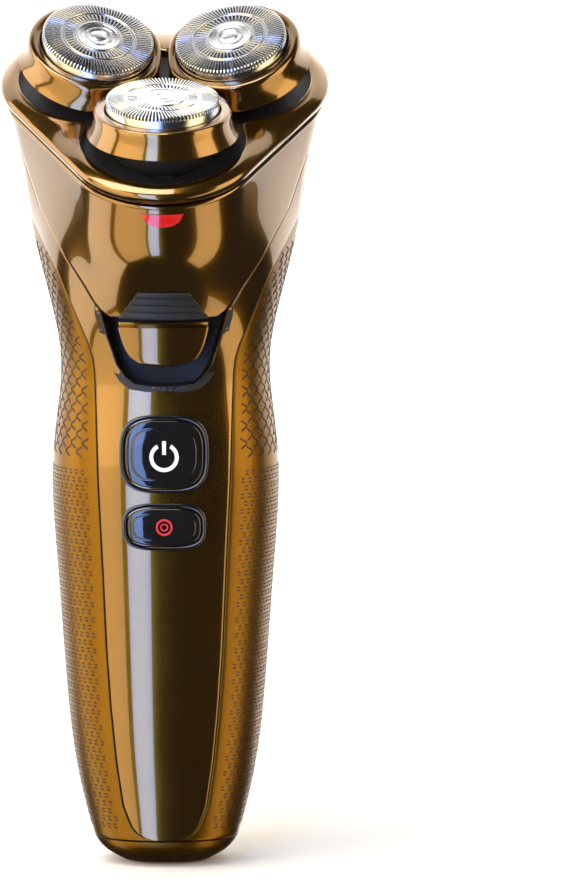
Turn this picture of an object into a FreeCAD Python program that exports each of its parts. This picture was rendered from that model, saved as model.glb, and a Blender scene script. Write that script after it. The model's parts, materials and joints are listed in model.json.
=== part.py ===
import FreeCAD, Part
import math
import os

from FreeCAD import Placement, Rotation, Vector

os.makedirs("parts", exist_ok=True)

# A wet-and-dry rotary shaver that stands upright on its foot. Millimetres, +Z up the
# handle, -Y towards the front panel, +X to the right seen from the front.

# ---- Overall sizes ----
BODY_LENGTH = 144.5
GRIP_HALF_WIDTH = 21.7
GRIP_HALF_DEPTH = 17.5
WALL = 2.0
SKIN_POINTS = 40

# ---- Head geometry ----
HEAD_TILT = 28.0
HEAD_FORWARD = 13.0
HEAD_RAISE = 11.5
CAP_CIRCLE = 14.4
CAP_RADIUS = 10.7
DISH = 11.2
HEADS = 3
LOBE_ANGLES = (-90.0, 30.0, 150.0)

# ---- Clearances ----
RUN_FIT = 0.08
BODY_GAP = 0.30
PART_LINE = 0.25
SEAM = 0.45

# ---- Levels below the cap plane, along the drive axis ----
LOBE_TOP = 2.3
LOBE_SKIRT = 7.4
LIP_LEVEL = 9.3
BULGE_LEVEL = 10.6
BOWL_LEVEL = 13.0
COVER_LEVEL = 15.4
GEAR_LEVEL = 17.6
GEAR_WIDTH = 2.6
PLATE_LEVEL = 21.0
PLATE_THICK = 1.6
MOTOR_LEVEL = 25.0
MOTOR_LENGTH = 20.0
MOTOR_RADIUS = 7.0
CRADLE_WALL = 1.3

# ---- Cutter sizes ----
CAP_TOP = 0.9
CAP_WALL = 0.5
CAP_HEIGHT = 5.0
CAP_FLANGE = 0.8
MEDALLION_RADIUS = 4.5
MEDALLION_THICK = 0.5
FLOAT = 1.0
BLADE_GAP = 0.15
BLADE_COUNT = 15
BLADE_HEIGHT = 1.7
DRIVE_CENTRE = 6.6
SEAT_RADIUS = 10.4
FLEX = 3.0

# ---- Gear train ----
SUN_TEETH = 24
DRIVEN_TEETH = 16
BACKLASH = 0.12
SPINDLE_RADIUS = 2.8
BEARING_RADIUS = 1.5


def whole(shape):
    solids = [s for s in shape.Solids if s.Volume > 0.5]
    return solids[0] if len(solids) == 1 else Part.makeCompound(solids)


def save(name, shape):
    shape = whole(shape)
    if not shape.isValid() or not shape.Solids:
        print("CHECK", name, shape.ShapeType, shape.isValid(), len(shape.Solids))
    shape.exportStep("parts/" + name + ".step")
    box = shape.BoundBox
    print(name, len(shape.Solids), round(shape.Volume, 1), round(box.ZMin, 1), round(box.ZMax, 1))


def cylinder(radius, low, high, x=0.0, y=0.0):
    return Part.makeCylinder(radius, high - low, Vector(x, y, low))


def block(x0, x1, y0, y1, z0, z1):
    return Part.makeBox(x1 - x0, y1 - y0, z1 - z0, Vector(x0, y0, z0))


def tube(outer, inner, low, high, x=0.0, y=0.0):
    return cylinder(outer, low, high, x, y).cut(cylinder(inner, low - 1, high + 1, x, y))


def placed(shape, placement):
    out = shape.copy()
    out.Placement = placement.multiply(out.Placement)
    return out


def revolved(profile):
    points = [Vector(r, 0, z) for r, z in profile]
    face = Part.Face(Part.makePolygon(points + [points[0]]))
    return face.revolve(Vector(0, 0, 0), Vector(0, 0, 1), 360)


def prism(outline, low, high):
    points = [Vector(x, y, low) for x, y in outline]
    face = Part.Face(Part.makePolygon(points + [points[0]]))
    return face.extrude(Vector(0, 0, high - low))


def front_prism(outline, y0, y1):
    points = [Vector(x, y0, z) for x, z in outline]
    face = Part.Face(Part.makePolygon(points + [points[0]]))
    return face.extrude(Vector(0, y1 - y0, 0))


def mirrored(half):
    return [(-x, z) for x, z in half] + [(x, z) for x, z in reversed(half)]


def closed_curve(points):
    curve = Part.BSplineCurve()
    curve.interpolate(points, PeriodicFlag=True)
    return Part.Wire([curve.toShape()])


# ---- Head frames ----
HEAD_HEIGHT = BODY_LENGTH + HEAD_RAISE
head_rotation = Rotation(Vector(1, 0, 0), HEAD_TILT)
head = Placement(Vector(0, -HEAD_FORWARD, HEAD_HEIGHT), head_rotation)
drive_axis = head_rotation.multVec(Vector(0, 0, 1))


def cap_frame(angle):
    turn = math.radians(angle)
    at = Vector(CAP_CIRCLE * math.cos(turn), CAP_CIRCLE * math.sin(turn), 0)
    spin = Rotation(Vector(0, 0, 1), angle).multiply(Rotation(Vector(0, 1, 0), -DISH))
    return head.multiply(Placement(at, spin))


# ---- Outlines ----
def oval_reach(phi, width, front, rear, power):
    c = math.cos(phi)
    s = math.sin(phi)
    depth = rear if s > 0 else front
    total = abs(c / width) ** power + abs(s / depth) ** power
    return total ** (-1.0 / power)


def triangle_reach(phi, corner, radius):
    third = math.pi / 3
    off = min(abs(math.remainder(phi - math.radians(a), 2 * math.pi)) for a in LOBE_ANGLES)
    if off < math.atan2(radius * math.sin(third), corner + radius * math.cos(third)):
        return corner * math.cos(off) + math.sqrt(radius ** 2 - (corner * math.sin(off)) ** 2)
    return (corner * math.cos(third) + radius) / math.cos(third - off)


def trefoil_reach(phi, corner, radius, power=14.0):
    total = 0.0
    for angle in LOBE_ANGLES:
        off = phi - math.radians(angle)
        side = corner * math.sin(off)
        if abs(side) < radius:
            arc = corner * math.cos(off) + math.sqrt(radius ** 2 - side ** 2)
            total += max(arc, 0.1) ** power
    return total ** (1.0 / power)


def outline(reach, centre, tilt):
    turn = Rotation(Vector(1, 0, 0), tilt)
    points = []
    for i in range(SKIN_POINTS):
        phi = 2 * math.pi * i / SKIN_POINTS
        r = reach(phi)
        points.append(centre + turn.multVec(Vector(r * math.cos(phi), r * math.sin(phi), 0)))
    return closed_curve(points)


# ---- The outer skin of handle and neck ----
# Each row: share of the body length, share of the grip width, front and rear share of
# the grip depth, then how much of the tilt and of the head outline is reached.
SKIN = (
    (0.000, 0.400, 0.40, 0.42, 0.00, 0.00),
    (0.010, 0.515, 0.53, 0.55, 0.00, 0.00),
    (0.044, 0.668, 0.69, 0.71, 0.00, 0.00),
    (0.110, 0.774, 0.80, 0.84, 0.00, 0.00),
    (0.250, 0.890, 0.91, 0.96, 0.00, 0.00),
    (0.410, 0.968, 0.97, 1.03, 0.00, 0.00),
    (0.540, 1.000, 1.00, 1.06, 0.00, 0.00),
    (0.606, 0.955, 0.97, 1.04, 0.02, 0.00),
    (0.668, 0.925, 0.95, 1.02, 0.08, 0.00),
    (0.732, 0.990, 1.03, 1.04, 0.22, 0.08),
    (0.800, 1.115, 1.22, 1.10, 0.42, 0.30),
    (0.862, 1.213, 1.42, 1.18, 0.64, 0.60),
    (0.930, 1.290, 1.72, 1.32, 0.84, 0.85),
)
BOWL_CENTRE = head.multVec(Vector(0, 0, -BOWL_LEVEL))
BOWL_CORNER = 17.9
FOOT_SHARE = 0.110


def skin_section(row, inset):
    share, wide, front, rear, tilt, blend = row
    width = wide * GRIP_HALF_WIDTH - inset
    fore = front * GRIP_HALF_DEPTH - inset
    aft = rear * GRIP_HALF_DEPTH - inset
    scale = width / (CAP_CIRCLE * math.cos(math.radians(30)) + BOWL_CORNER)
    corner = CAP_CIRCLE * scale
    radius = BOWL_CORNER * scale

    def reach(phi):
        oval = oval_reach(phi, width, fore, aft, 2.35)
        return (1 - blend) * oval + blend * triangle_reach(phi, corner, radius)

    z = share * BODY_LENGTH + inset * max(0.0, 1 - share / FOOT_SHARE)
    slide = BOWL_CENTRE.y * tilt ** 1.6
    return outline(reach, Vector(0, slide, z), HEAD_TILT * tilt)


def top_section(inset, level=0.0):
    def reach(phi):
        return triangle_reach(phi, CAP_CIRCLE, BOWL_CORNER - inset)

    return outline(reach, BOWL_CENTRE + drive_axis * level, HEAD_TILT)


def body_skin(inset):
    wires = [skin_section(row, inset) for row in SKIN] + [top_section(inset)]
    return Part.makeLoft(wires, True, False, False, 3)


def at_height(share):
    return share * BODY_LENGTH


def at_side(share):
    return share * GRIP_HALF_WIDTH


def scaled(half):
    return [(at_side(x), at_height(z)) for x, z in half]


outer = body_skin(0.0)
inner = body_skin(WALL)

# ---- Line between handle and neck, from the middle of the front out to the side ----
SHOULDER = (
    (0.438, 0.737),
    (0.553, 0.7495),
    (0.613, 0.761),
    (0.700, 0.783),
    (0.899, 0.827),
    (1.101, 0.880),
    (1.189, 0.918),
    (1.255, 0.946),
    (3.000, 0.946),
)
REAR_SHOULDER = (
    (0.600, 0.8600),
    (0.900, 0.8720),
    (1.101, 0.8950),
    (1.189, 0.918),
    (1.255, 0.946),
    (3.000, 0.946),
)
SHOULDER_STEP = -3.0
FAR = 90.0


def shoulder_half(rows, low, high, y0, y1):
    line = mirrored(list(reversed(scaled(rows))))
    bottom = [(x, z + low) for x, z in line]
    left = bottom[0][0]
    if high is None:
        top = [(-left, BODY_LENGTH + FAR), (left, BODY_LENGTH + FAR)]
    else:
        top = [(x, z + high) for x, z in reversed(line)]
    return front_prism(bottom + top, y0, y1)


def shoulder_zone(low, high):
    """The band between two offsets of the shoulder line, or up to a far height."""
    step = SHOULDER_STEP - low
    front = shoulder_half(SHOULDER, low, high, -FAR, step)
    return front.fuse(shoulder_half(REAR_SHOULDER, low, high, step, FAR))


above = shoulder_zone(0.0, None)
handle_skin = outer.cut(above)
handle_hollow = inner.cut(shoulder_zone(-WALL, None))
neck_zone = shoulder_zone(PART_LINE, None)
neck_skin = outer.common(neck_zone)

# ---- Front panel: a lower blade and two arms ----
PANEL = (
    (0.184, 0.0365),
    (0.300, 0.0530),
    (0.373, 0.0813),
    (0.430, 0.1400),
    (0.479, 0.2150),
    (0.516, 0.2960),
    (0.548, 0.4060),
    (0.585, 0.5200),
    (0.604, 0.6190),
    (0.615, 0.6640),
    (0.666, 0.7000),
    (0.765, 0.7350),
    (0.940, 0.7970),
    (1.180, 0.8630),
    (1.500, 0.9300),
)
panel_half = scaled(PANEL)
panel_edge = mirrored(list(reversed(panel_half)))
panel_edge += [(panel_half[-1][0], BODY_LENGTH + FAR), (-panel_half[-1][0], BODY_LENGTH + FAR)]
panel_zone = front_prism(panel_edge, -FAR, SHOULDER_STEP)

# ---- Release recess in the front of the handle ----
WELL_DEPTH = 7.0
WELL = (
    (0.115, 0.6465),
    (0.260, 0.6500),
    (0.345, 0.6600),
    (0.410, 0.6750),
    (0.455, 0.6950),
    (0.500, 0.7150),
    (0.560, 0.7500),
)


def widened(half, by):
    return mirrored([(x + by, z - by) for x, z in reversed(scaled(half))])


well_top = BODY_LENGTH
well_front = -GRIP_HALF_DEPTH - 4.0
well_back = -GRIP_HALF_DEPTH * 0.96 + WELL_DEPTH


def well_prism(by, back):
    edge = widened(WELL, by)
    x = edge[0][0]
    return front_prism(edge + [(-x, well_top), (x, well_top)], well_front - FAR / 2, back)


well_hole = well_prism(0.0, well_back)
well_body = well_prism(1.0, well_back + 1.2).cut(well_hole)

# ---- Buttons on the panel ----
BUTTON_TRAVEL = 0.8
PANEL_FACE = -GRIP_HALF_DEPTH
POWER = (at_height(0.558), 7.5, 6.5)
MODE = (at_height(0.4615), 7.0, 3.55)
BEZEL_RIM = 0.75
BUTTON_GAP = 0.25
BUTTON_PROUD = 0.9
BEZEL_PROUD = 0.55
BEZEL_DEPTH = 3.8


def pill(half_x, half_z, z, y0, y1, power=3.2):
    points = []
    for i in range(SKIN_POINTS):
        phi = 2 * math.pi * i / SKIN_POINTS
        r = oval_reach(phi, half_x, half_z, half_z, power)
        points.append(Vector(r * math.cos(phi), y0, z + r * math.sin(phi)))
    return Part.Face(closed_curve(points)).extrude(Vector(0, y1 - y0, 0))


def rod_y(radius, z, y0, y1):
    return Part.makeCylinder(radius, y1 - y0, Vector(0, y0, z), Vector(0, 1, 0))


bezel_holes = []
bezels = []
caps = []
for height, half_x, half_z in (POWER, MODE):
    grow = BUTTON_GAP + BEZEL_RIM
    bezel_front = PANEL_FACE - BEZEL_PROUD
    bezel_back = PANEL_FACE + BEZEL_DEPTH
    blank = pill(half_x + grow, half_z + grow, height, bezel_front, bezel_back)
    gap = BUTTON_GAP
    hollow = pill(half_x + gap, half_z + gap, height, bezel_front - 1, bezel_back - 1.0)
    post_hole = rod_y(2.0 + BODY_GAP, height, bezel_back - 2, bezel_back + 1)
    bezel_holes.append(pill(half_x + grow, half_z + grow, height, -FAR, bezel_back))
    bezels.append(blank.cut(hollow).cut(post_hole))
    key = pill(half_x, half_z, height, PANEL_FACE - BUTTON_PROUD, PANEL_FACE + 1.5)
    caps.append(key.fuse(rod_y(2.0, height, PANEL_FACE + 1.0, PANEL_FACE + 5.0)))

# ---- Handle shells ----
handle_wall = handle_skin.cut(handle_hollow)
front_panel = handle_wall.common(panel_zone).cut(well_prism(1.0, well_back + 1.2))
for hole in bezel_holes:
    front_panel = front_panel.cut(hole)
rear_shell = handle_wall.cut(panel_zone).cut(well_prism(1.0, well_back + 1.2))

# ---- Inside the handle ----
BATTERY_RADIUS = 7.0
BATTERY_LENGTH = 48.0
BATTERY_LOW = 15.0
BATTERY_BACK = 2.2
PLATE_FRONT = -8.6
BOARD_THICK = 1.4
battery_low = BATTERY_LOW
battery_high = battery_low + BATTERY_LENGTH
board_front = PLATE_FRONT - BOARD_THICK
board_low = at_height(0.16)
board_high = at_height(0.63)

plate = handle_hollow.common(block(-FAR, FAR, PLATE_FRONT, PLATE_FRONT + 1.4, 9.0, at_height(0.68)))
ribs = block(-FAR, FAR, PLATE_FRONT, FAR, battery_low - 2.2, battery_low - 0.6)
ribs = ribs.fuse(block(-FAR, FAR, PLATE_FRONT, FAR, battery_high + 0.6, battery_high + 2.2))
for share in (0.25, 0.75):
    z = battery_low + BATTERY_LENGTH * share
    ribs = ribs.fuse(block(-FAR, FAR, PLATE_FRONT, FAR, z - 1.0, z + 1.0))
battery_room = cylinder(BATTERY_RADIUS, battery_low - 0.6, battery_high + 0.6, 0, BATTERY_BACK)
chassis = plate.fuse(handle_hollow.common(ribs)).cut(battery_room)
chassis = chassis.cut(block(-FAR, FAR, -FAR, FAR, -FAR, 9.0))
battery = cylinder(BATTERY_RADIUS, battery_low, battery_high, 0, BATTERY_BACK)
tab = cylinder(BATTERY_RADIUS * 0.6, battery_low - 0.6, battery_low, 0, BATTERY_BACK)
battery_tabs = Part.makeCompound([tab, tab.translated(Vector(0, 0, BATTERY_LENGTH + 0.6))])
board = block(-10.0, 10.0, board_front, PLATE_FRONT, board_low, board_high)

switches = []
for height, _, _ in (POWER, MODE):
    tact = block(-3.0, 3.0, board_front - 1.4, board_front, height - 3.0, height + 3.0)
    switches.append(tact)

# ---- Charging socket in the foot ----
SOCKET_WIDTH = 8.34
SOCKET_HEIGHT = 2.56
SOCKET_WALL = 0.3
SOCKET_LENGTH = 7.0
SOCKET_Y = 3.8
SEAL_WALL = 0.9


def stadium(width, height, z0, z1):
    r = height / 2
    side = width / 2 - r
    mid = block(-side, side, -r, r, z0, z1)
    whole_shape = mid.fuse(cylinder(r, z0, z1, side)).fuse(cylinder(r, z0, z1, -side))
    return whole_shape.translated(Vector(0, SOCKET_Y, 0))


def grown_stadium(by, z0, z1):
    return stadium(SOCKET_WIDTH + 2 * by, SOCKET_HEIGHT + 2 * by, z0, z1)


socket_low = 0.4
socket_high = socket_low + SOCKET_LENGTH
shell = grown_stadium(SOCKET_WALL, socket_low, socket_high)
charge_socket = shell.cut(grown_stadium(0.0, socket_low - 1, socket_high - 0.5))
socket_tongue = block(-3.3, 3.3, SOCKET_Y - 0.35, SOCKET_Y + 0.35, socket_low + 0.8, socket_high - 0.5)
seal_out = SOCKET_WALL + SEAL_WALL
socket_seal = grown_stadium(seal_out, socket_low, socket_high - 1.5)
socket_seal = socket_seal.cut(grown_stadium(SOCKET_WALL, 0, socket_high + 1))
rear_shell = rear_shell.cut(grown_stadium(seal_out, -1, WALL + 3.0))
socket_floor = handle_hollow.common(block(-FAR, FAR, -FAR, FAR, socket_high, socket_high + 1.6))

# ---- Motor, its cradle and the deck that closes the handle ----
cradle_radius = MOTOR_RADIUS + CRADLE_WALL
cradle_low = -MOTOR_LEVEL - MOTOR_LENGTH - 1.5
deck = handle_hollow.common(shoulder_zone(-WALL - 2.0, None))
cradle_blank = placed(cylinder(cradle_radius, cradle_low - 15.0, -MOTOR_LEVEL + 0.8), head)
cradle = cradle_blank.common(inner)
front_panel = front_panel.cut(cradle)
rear_shell = rear_shell.cut(cradle)
motor_room = placed(cylinder(MOTOR_RADIUS, -MOTOR_LEVEL - MOTOR_LENGTH, -MOTOR_LEVEL), head)
shaft_way = placed(cylinder(2.6, -MOTOR_LEVEL - 1, -MOTOR_LEVEL + 2), head)
lead_way = placed(cylinder(3.0, cradle_low - FAR, cradle_low + 3), head)
shoulder_deck = deck.fuse(cradle).cut(motor_room).cut(shaft_way).cut(lead_way)
shoulder_deck = shoulder_deck.cut(well_prism(1.0, well_back + 1.2))
MOTOR_CAP = 3.0
motor_can = cylinder(MOTOR_RADIUS, -MOTOR_LEVEL - MOTOR_LENGTH + MOTOR_CAP, -MOTOR_LEVEL)
motor_can = motor_can.cut(cylinder(MOTOR_RADIUS - 0.8, -MOTOR_LEVEL - FAR, -MOTOR_LEVEL - 1))
motor_can = placed(motor_can.cut(cylinder(1.0 + RUN_FIT, -FAR, 0)), head)
end_low = -MOTOR_LEVEL - MOTOR_LENGTH
motor_end_cap = cylinder(MOTOR_RADIUS, end_low, end_low + MOTOR_CAP)
motor_end_cap = placed(motor_end_cap.cut(cylinder(1.0 + RUN_FIT, end_low + 1, end_low + 4)), head)

# The rotor: shaft, winding and drive dog turn together.
COUPLING_RADIUS = 2.0
shaft_low = end_low + 1.2
shaft_high = -MOTOR_LEVEL + 2.2
motor_shaft = placed(cylinder(1.0, shaft_low, shaft_high), head)
winding = cylinder(MOTOR_RADIUS - 1.4, end_low + MOTOR_CAP + 0.8, -MOTOR_LEVEL - 2.0)
motor_rotor = placed(winding.cut(cylinder(1.0, -FAR, 0)), head)


def hexagon(radius, z0, z1):
    turns = [math.radians(60 * i + 30) for i in range(6)]
    return prism([(radius * math.cos(a), radius * math.sin(a)) for a in turns], z0, z1)


dog_top = -PLATE_LEVEL - 0.6
collar = cylinder(COUPLING_RADIUS, -MOTOR_LEVEL + 0.2, -MOTOR_LEVEL + 1.6)
drive_dog = collar.fuse(hexagon(1.5, -MOTOR_LEVEL + 1.6, dog_top))
drive_dog = placed(drive_dog.cut(cylinder(1.0, -FAR, shaft_high)), head)
MOUTH_SEAL = 0.7
seal_groove = -MOTOR_LEVEL - 1.6
mouth_seal = tube(cradle_radius + 0.35, cradle_radius - MOUTH_SEAL, seal_groove - 0.7, seal_groove + 0.7)
shoulder_deck = shoulder_deck.cut(placed(mouth_seal, head))
mouth_seal = placed(mouth_seal, head).common(inner)

# ---- Release pad ----
PAD_TRAVEL = 1.2
PAD_FACE = -GRIP_HALF_DEPTH - 0.9
PAD = (
    (0.150, 0.6725),
    (0.290, 0.6760),
    (0.360, 0.6880),
    (0.405, 0.7060),
    (0.438, 0.7330),
)
release_pad = front_prism(widened(PAD, 0.0), PAD_FACE - FAR / 2, -GRIP_HALF_DEPTH * 0.8)
pad_shape = outer.translated(Vector(0, -0.8, 0))
release_pad = release_pad.common(pad_shape)
pad_mid = at_height(0.702)
pad_post = rod_y(1.6, pad_mid, -GRIP_HALF_DEPTH * 0.8 - 1.0, well_back + 0.8)
release_pad = release_pad.fuse(pad_post)
post_room = rod_y(1.6 + BODY_GAP, pad_mid, well_back, well_back + 0.8 + PAD_TRAVEL + BODY_GAP)
shoulder_deck = shoulder_deck.cut(post_room)
post_way = rod_y(1.6 + RUN_FIT, pad_mid, well_back - 1, well_back + 3)
release_well = well_body.common(handle_skin).cut(shoulder_zone(-0.01, None)).cut(post_way)

# ---- Neck housing ----
neck_hollow = inner.common(shoulder_zone(PART_LINE - 0.01, None))
neck_room = placed(cylinder(60.0, -FAR, -BOWL_LEVEL), head)
motor_clear = placed(cylinder(cradle_radius + BODY_GAP + 0.35, -FAR, -MOTOR_LEVEL + 3.0), head)
neck_base = neck_hollow.cut(shoulder_zone(PART_LINE + 1.8, None)).cut(motor_clear)
neck_wall = neck_skin.cut(inner).fuse(neck_base).cut(motor_clear)


def head_slab(shape, low, high, half=60.0):
    return shape.common(placed(block(-half, half, -half, half, low, high), head))


# ---- Gear train ----
gear_circle = CAP_CIRCLE + DRIVE_CENTRE * math.sin(math.radians(DISH))
module = 2 * gear_circle / (SUN_TEETH + DRIVEN_TEETH)
gear_high = -GEAR_LEVEL
gear_low = gear_high - GEAR_WIDTH


def gear(teeth, first_angle, z0, z1):
    """A spur gear of straight-flanked teeth with one tooth centred on first_angle."""
    pitch = module * teeth / 2
    thick = math.pi * module / 2 - BACKLASH
    profile = []
    for i in range(teeth):
        mid = math.radians(first_angle) + 2 * math.pi * i / teeth
        rows = ((-1.15, 0.80), (0.0, 0.50), (0.85, 0.22))
        for sign, order in ((-1, rows), (1, tuple(reversed(rows)))):
            for out, share in order:
                r = pitch + out * module
                half = thick * share
                profile.append((r * math.cos(mid + sign * half / r), r * math.sin(mid + sign * half / r)))
    return prism(profile, z0, z1)


sun = gear(SUN_TEETH, LOBE_ANGLES[0], gear_low, gear_high)
hub_low = -PLATE_LEVEL - PLATE_THICK - 0.6
sun = sun.fuse(cylinder(3.2, hub_low, gear_low + 0.5)).cut(hexagon(1.5 + 0.12, hub_low - 1, dog_top + 0.4))
sun_gear = placed(sun, head)

gear_room = neck_hollow.cut(neck_base)
gear_plate = head_slab(gear_room, -PLATE_LEVEL - PLATE_THICK, -PLATE_LEVEL)
gear_plate = gear_plate.cut(placed(cylinder(3.2 + RUN_FIT, -FAR, 0), head))
gear_cover = head_slab(gear_room, -COVER_LEVEL - 1.2, -COVER_LEVEL)

spindle_top = -DRIVE_CENTRE + 0.7
slot_low = spindle_top - 3.6
driven_gears = []
for angle in LOBE_ANGLES:
    turn = math.radians(angle)
    x = gear_circle * math.cos(turn)
    y = gear_circle * math.sin(turn)
    at = Placement(Vector(x, y, 0), Rotation())
    wheel = gear(DRIVEN_TEETH, angle + 180 + 180.0 / DRIVEN_TEETH, gear_low, gear_high)
    wheel = wheel.fuse(cylinder(SPINDLE_RADIUS, gear_high, spindle_top))
    wheel = wheel.fuse(cylinder(BEARING_RADIUS, -PLATE_LEVEL - PLATE_THICK - 0.2, gear_low))
    wheel = wheel.cut(block(-1.0, 1.0, -4, 4, slot_low, 0))
    driven_gears.append(placed(placed(wheel, at), head))
    bearing = placed(cylinder(BEARING_RADIUS + RUN_FIT, -FAR, 0), at)
    gear_plate = gear_plate.cut(placed(bearing, head))
    way = placed(cylinder(SPINDLE_RADIUS + RUN_FIT, -FAR, 0), at)
    gear_cover = gear_cover.cut(placed(way, head))

screw_circle = gear_circle - 1.5
screws = []
pillars = []
for angle in LOBE_ANGLES:
    turn = math.radians(angle + 60)
    at = Placement(Vector(screw_circle * math.cos(turn), screw_circle * math.sin(turn), 0), Rotation())
    screw = cylinder(1.7, -COVER_LEVEL, -COVER_LEVEL + 0.9).fuse(cylinder(0.8, -PLATE_LEVEL, -COVER_LEVEL))
    screw = screw.cut(block(-1.2, 1.2, -0.25, 0.25, -COVER_LEVEL + 0.5, 0))
    screws.append(placed(placed(screw, at), head))
    pillar = placed(cylinder(1.8, -PLATE_LEVEL, -COVER_LEVEL - 1.2), at)
    pillars.append(placed(pillar, head))
    gear_cover = gear_cover.cut(placed(placed(cylinder(0.8, -FAR, 0), at), head))
for pillar in pillars:
    gear_plate = gear_plate.fuse(pillar)
for screw in screws:
    gear_plate = gear_plate.cut(screw)
gear_screws = Part.makeCompound(screws)

# ---- Thumb ribs on the neck above the release pad ----
RIB_TOP = at_height(0.777)
RIB_LOW = at_height(0.739)
RIBS = 4
rib_pitch = (RIB_TOP - RIB_LOW) / RIBS
thumb_ribs = None
for i in range(RIBS):
    low = RIB_LOW + rib_pitch * i
    share = (low - RIB_LOW) / (RIB_TOP - RIB_LOW)
    half_low = at_side(0.415 - 0.19 * share)
    half_high = at_side(0.415 - 0.19 * (share + 1 / RIBS))
    step = [(-half_low, low), (half_low, low), (half_high, low + rib_pitch), (-half_high, low + rib_pitch)]
    out = 0.75 if i % 2 else 0.35
    piece = front_prism(step, -FAR, 0).common(outer.translated(Vector(0, -out, 0)))
    thumb_ribs = piece if thumb_ribs is None else thumb_ribs.fuse(piece)
thumb_ribs = thumb_ribs.cut(inner).common(shoulder_zone(PART_LINE, None))
wide = at_side(0.415)
narrow = at_side(0.225)
rib_edge = [(-wide, RIB_LOW), (wide, RIB_LOW), (narrow, RIB_TOP), (-narrow, RIB_TOP)]
rib_zone = front_prism(rib_edge, -FAR, 0)
neck_wall = neck_wall.cut(rib_zone.cut(inner))

# ---- Chamber release button, under the lip at the front ----
RED_LEVEL = 15.9
RED_TRAVEL = 0.8
RED_HALF_WIDTH = 4.05
RED_HALF_HEIGHT = 1.3


def red_prism(by, y0, y1):
    top = -RED_LEVEL + RED_HALF_HEIGHT + by
    low = -RED_LEVEL - RED_HALF_HEIGHT - by
    half = RED_HALF_WIDTH + by
    edge = [(-half, top), (-half * 0.8, -RED_LEVEL - 0.3), (-half * 0.45, low + 0.25), (0, low)]
    edge += [(-x, z) for x, z in reversed(edge[:-1])]
    return placed(front_prism(edge, y0, y1), head)


red_back = -CAP_CIRCLE - BOWL_CORNER + WALL + 0.9
skin_out = outer.translated(head_rotation.multVec(Vector(0, -0.45, 0)))
release_button = red_prism(0.0, -FAR, red_back).common(skin_out)
neck_wall = neck_wall.cut(red_prism(BODY_GAP, -FAR, red_back + 2))
gear_cover = gear_cover.cut(red_prism(BODY_GAP, -FAR, red_back + RED_TRAVEL + BODY_GAP))

# ---- Bowl: the hair chamber ring that hinges open ----
def head_outline(reach, level):
    points = []
    for i in range(72):
        phi = 2 * math.pi * i / 72
        r = reach(phi)
        points.append(Vector(r * math.cos(phi), r * math.sin(phi), level))
    return closed_curve(points)


def rounded_triangle(radius, level):
    return head_outline(lambda phi: triangle_reach(phi, CAP_CIRCLE, radius), level)


def trefoil(radius, level, blend=1.0):
    def reach(phi):
        flat = triangle_reach(phi, CAP_CIRCLE, radius)
        return blend * trefoil_reach(phi, CAP_CIRCLE, radius) + (1 - blend) * flat

    return head_outline(reach, level)


def head_prism(wire, length):
    return Part.Face(wire).extrude(Vector(0, 0, length))


lip_gap = 0.5
bowl_low = -BOWL_LEVEL + lip_gap
bowl_outer = [
    rounded_triangle(BOWL_CORNER + 0.2, bowl_low),
    rounded_triangle(BOWL_CORNER + 1.1, -BULGE_LEVEL - 0.6),
    trefoil(BOWL_CORNER + 1.2, -BULGE_LEVEL + 0.2, 0.25),
    trefoil(BOWL_CORNER - 0.2, -LIP_LEVEL - 0.25, 0.80),
    trefoil(BOWL_CORNER - 1.1, -LIP_LEVEL, 0.95),
]
FRAME_EDGE = BOWL_CORNER - 1.9
bowl = Part.makeLoft(bowl_outer, True, False, False, 3)
bowl = bowl.cut(head_prism(trefoil(BOWL_CORNER - 2.5, -BOWL_LEVEL - 1), 6.0))
bowl = bowl.cut(head_prism(rounded_triangle(FRAME_EDGE, -BOWL_LEVEL - 1), BOWL_LEVEL + 1 - BULGE_LEVEL - 0.3))
neck_lip = head_prism(rounded_triangle(BOWL_CORNER + 0.1, -BOWL_LEVEL - 1.0), 1.0)
neck_lip = placed(neck_lip.cut(head_prism(rounded_triangle(BOWL_CORNER - 2.0, -BOWL_LEVEL - 2), 4)), head)
neck_wall = neck_wall.cut(placed(head_prism(rounded_triangle(60, -BOWL_LEVEL - 1.0), 9.0), head))

FRAME_THICK = 1.6
frame_low = bowl_low
frame_plate = head_prism(rounded_triangle(FRAME_EDGE, frame_low), FRAME_THICK)

# Rear hinge of the bowl
HINGE_BACK = CAP_CIRCLE / 2 + BOWL_CORNER + 0.9
HINGE_RADIUS = 1.5
PIN_RADIUS = 0.7
KNUCKLE = 3.4


def rod_x(radius, x0, x1, y, z):
    return Part.makeCylinder(radius, x1 - x0, Vector(x0, y, z), Vector(1, 0, 0))


hinge_z = -BOWL_LEVEL
bowl_knuckle = rod_x(HINGE_RADIUS, -KNUCKLE, KNUCKLE, HINGE_BACK, hinge_z)
arm = block(-KNUCKLE, KNUCKLE, HINGE_BACK - 2.75, HINGE_BACK, hinge_z + lip_gap, hinge_z + 1.4)
knuckle_room = rod_x(HINGE_RADIUS + BODY_GAP, -3 * KNUCKLE - 0.5, 3 * KNUCKLE + 0.5, HINGE_BACK, hinge_z)
bowl = bowl.cut(knuckle_room).fuse(bowl_knuckle).fuse(arm)
bowl = bowl.cut(rod_x(PIN_RADIUS + RUN_FIT, -FAR, FAR, HINGE_BACK, hinge_z))
HOOK_BACK = CAP_CIRCLE + BOWL_CORNER - 4.6
latch_low = -COVER_LEVEL + BODY_GAP
latch = block(-2.6, 2.6, -HOOK_BACK, -HOOK_BACK + 1.2, latch_low, frame_low + 0.1)
latch = latch.fuse(block(-2.6, 2.6, -HOOK_BACK - 0.6, -HOOK_BACK, latch_low, latch_low + 0.8))
side_knuckles = rod_x(HINGE_RADIUS, KNUCKLE + 0.25, 2.4 * KNUCKLE, HINGE_BACK, hinge_z)
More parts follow.
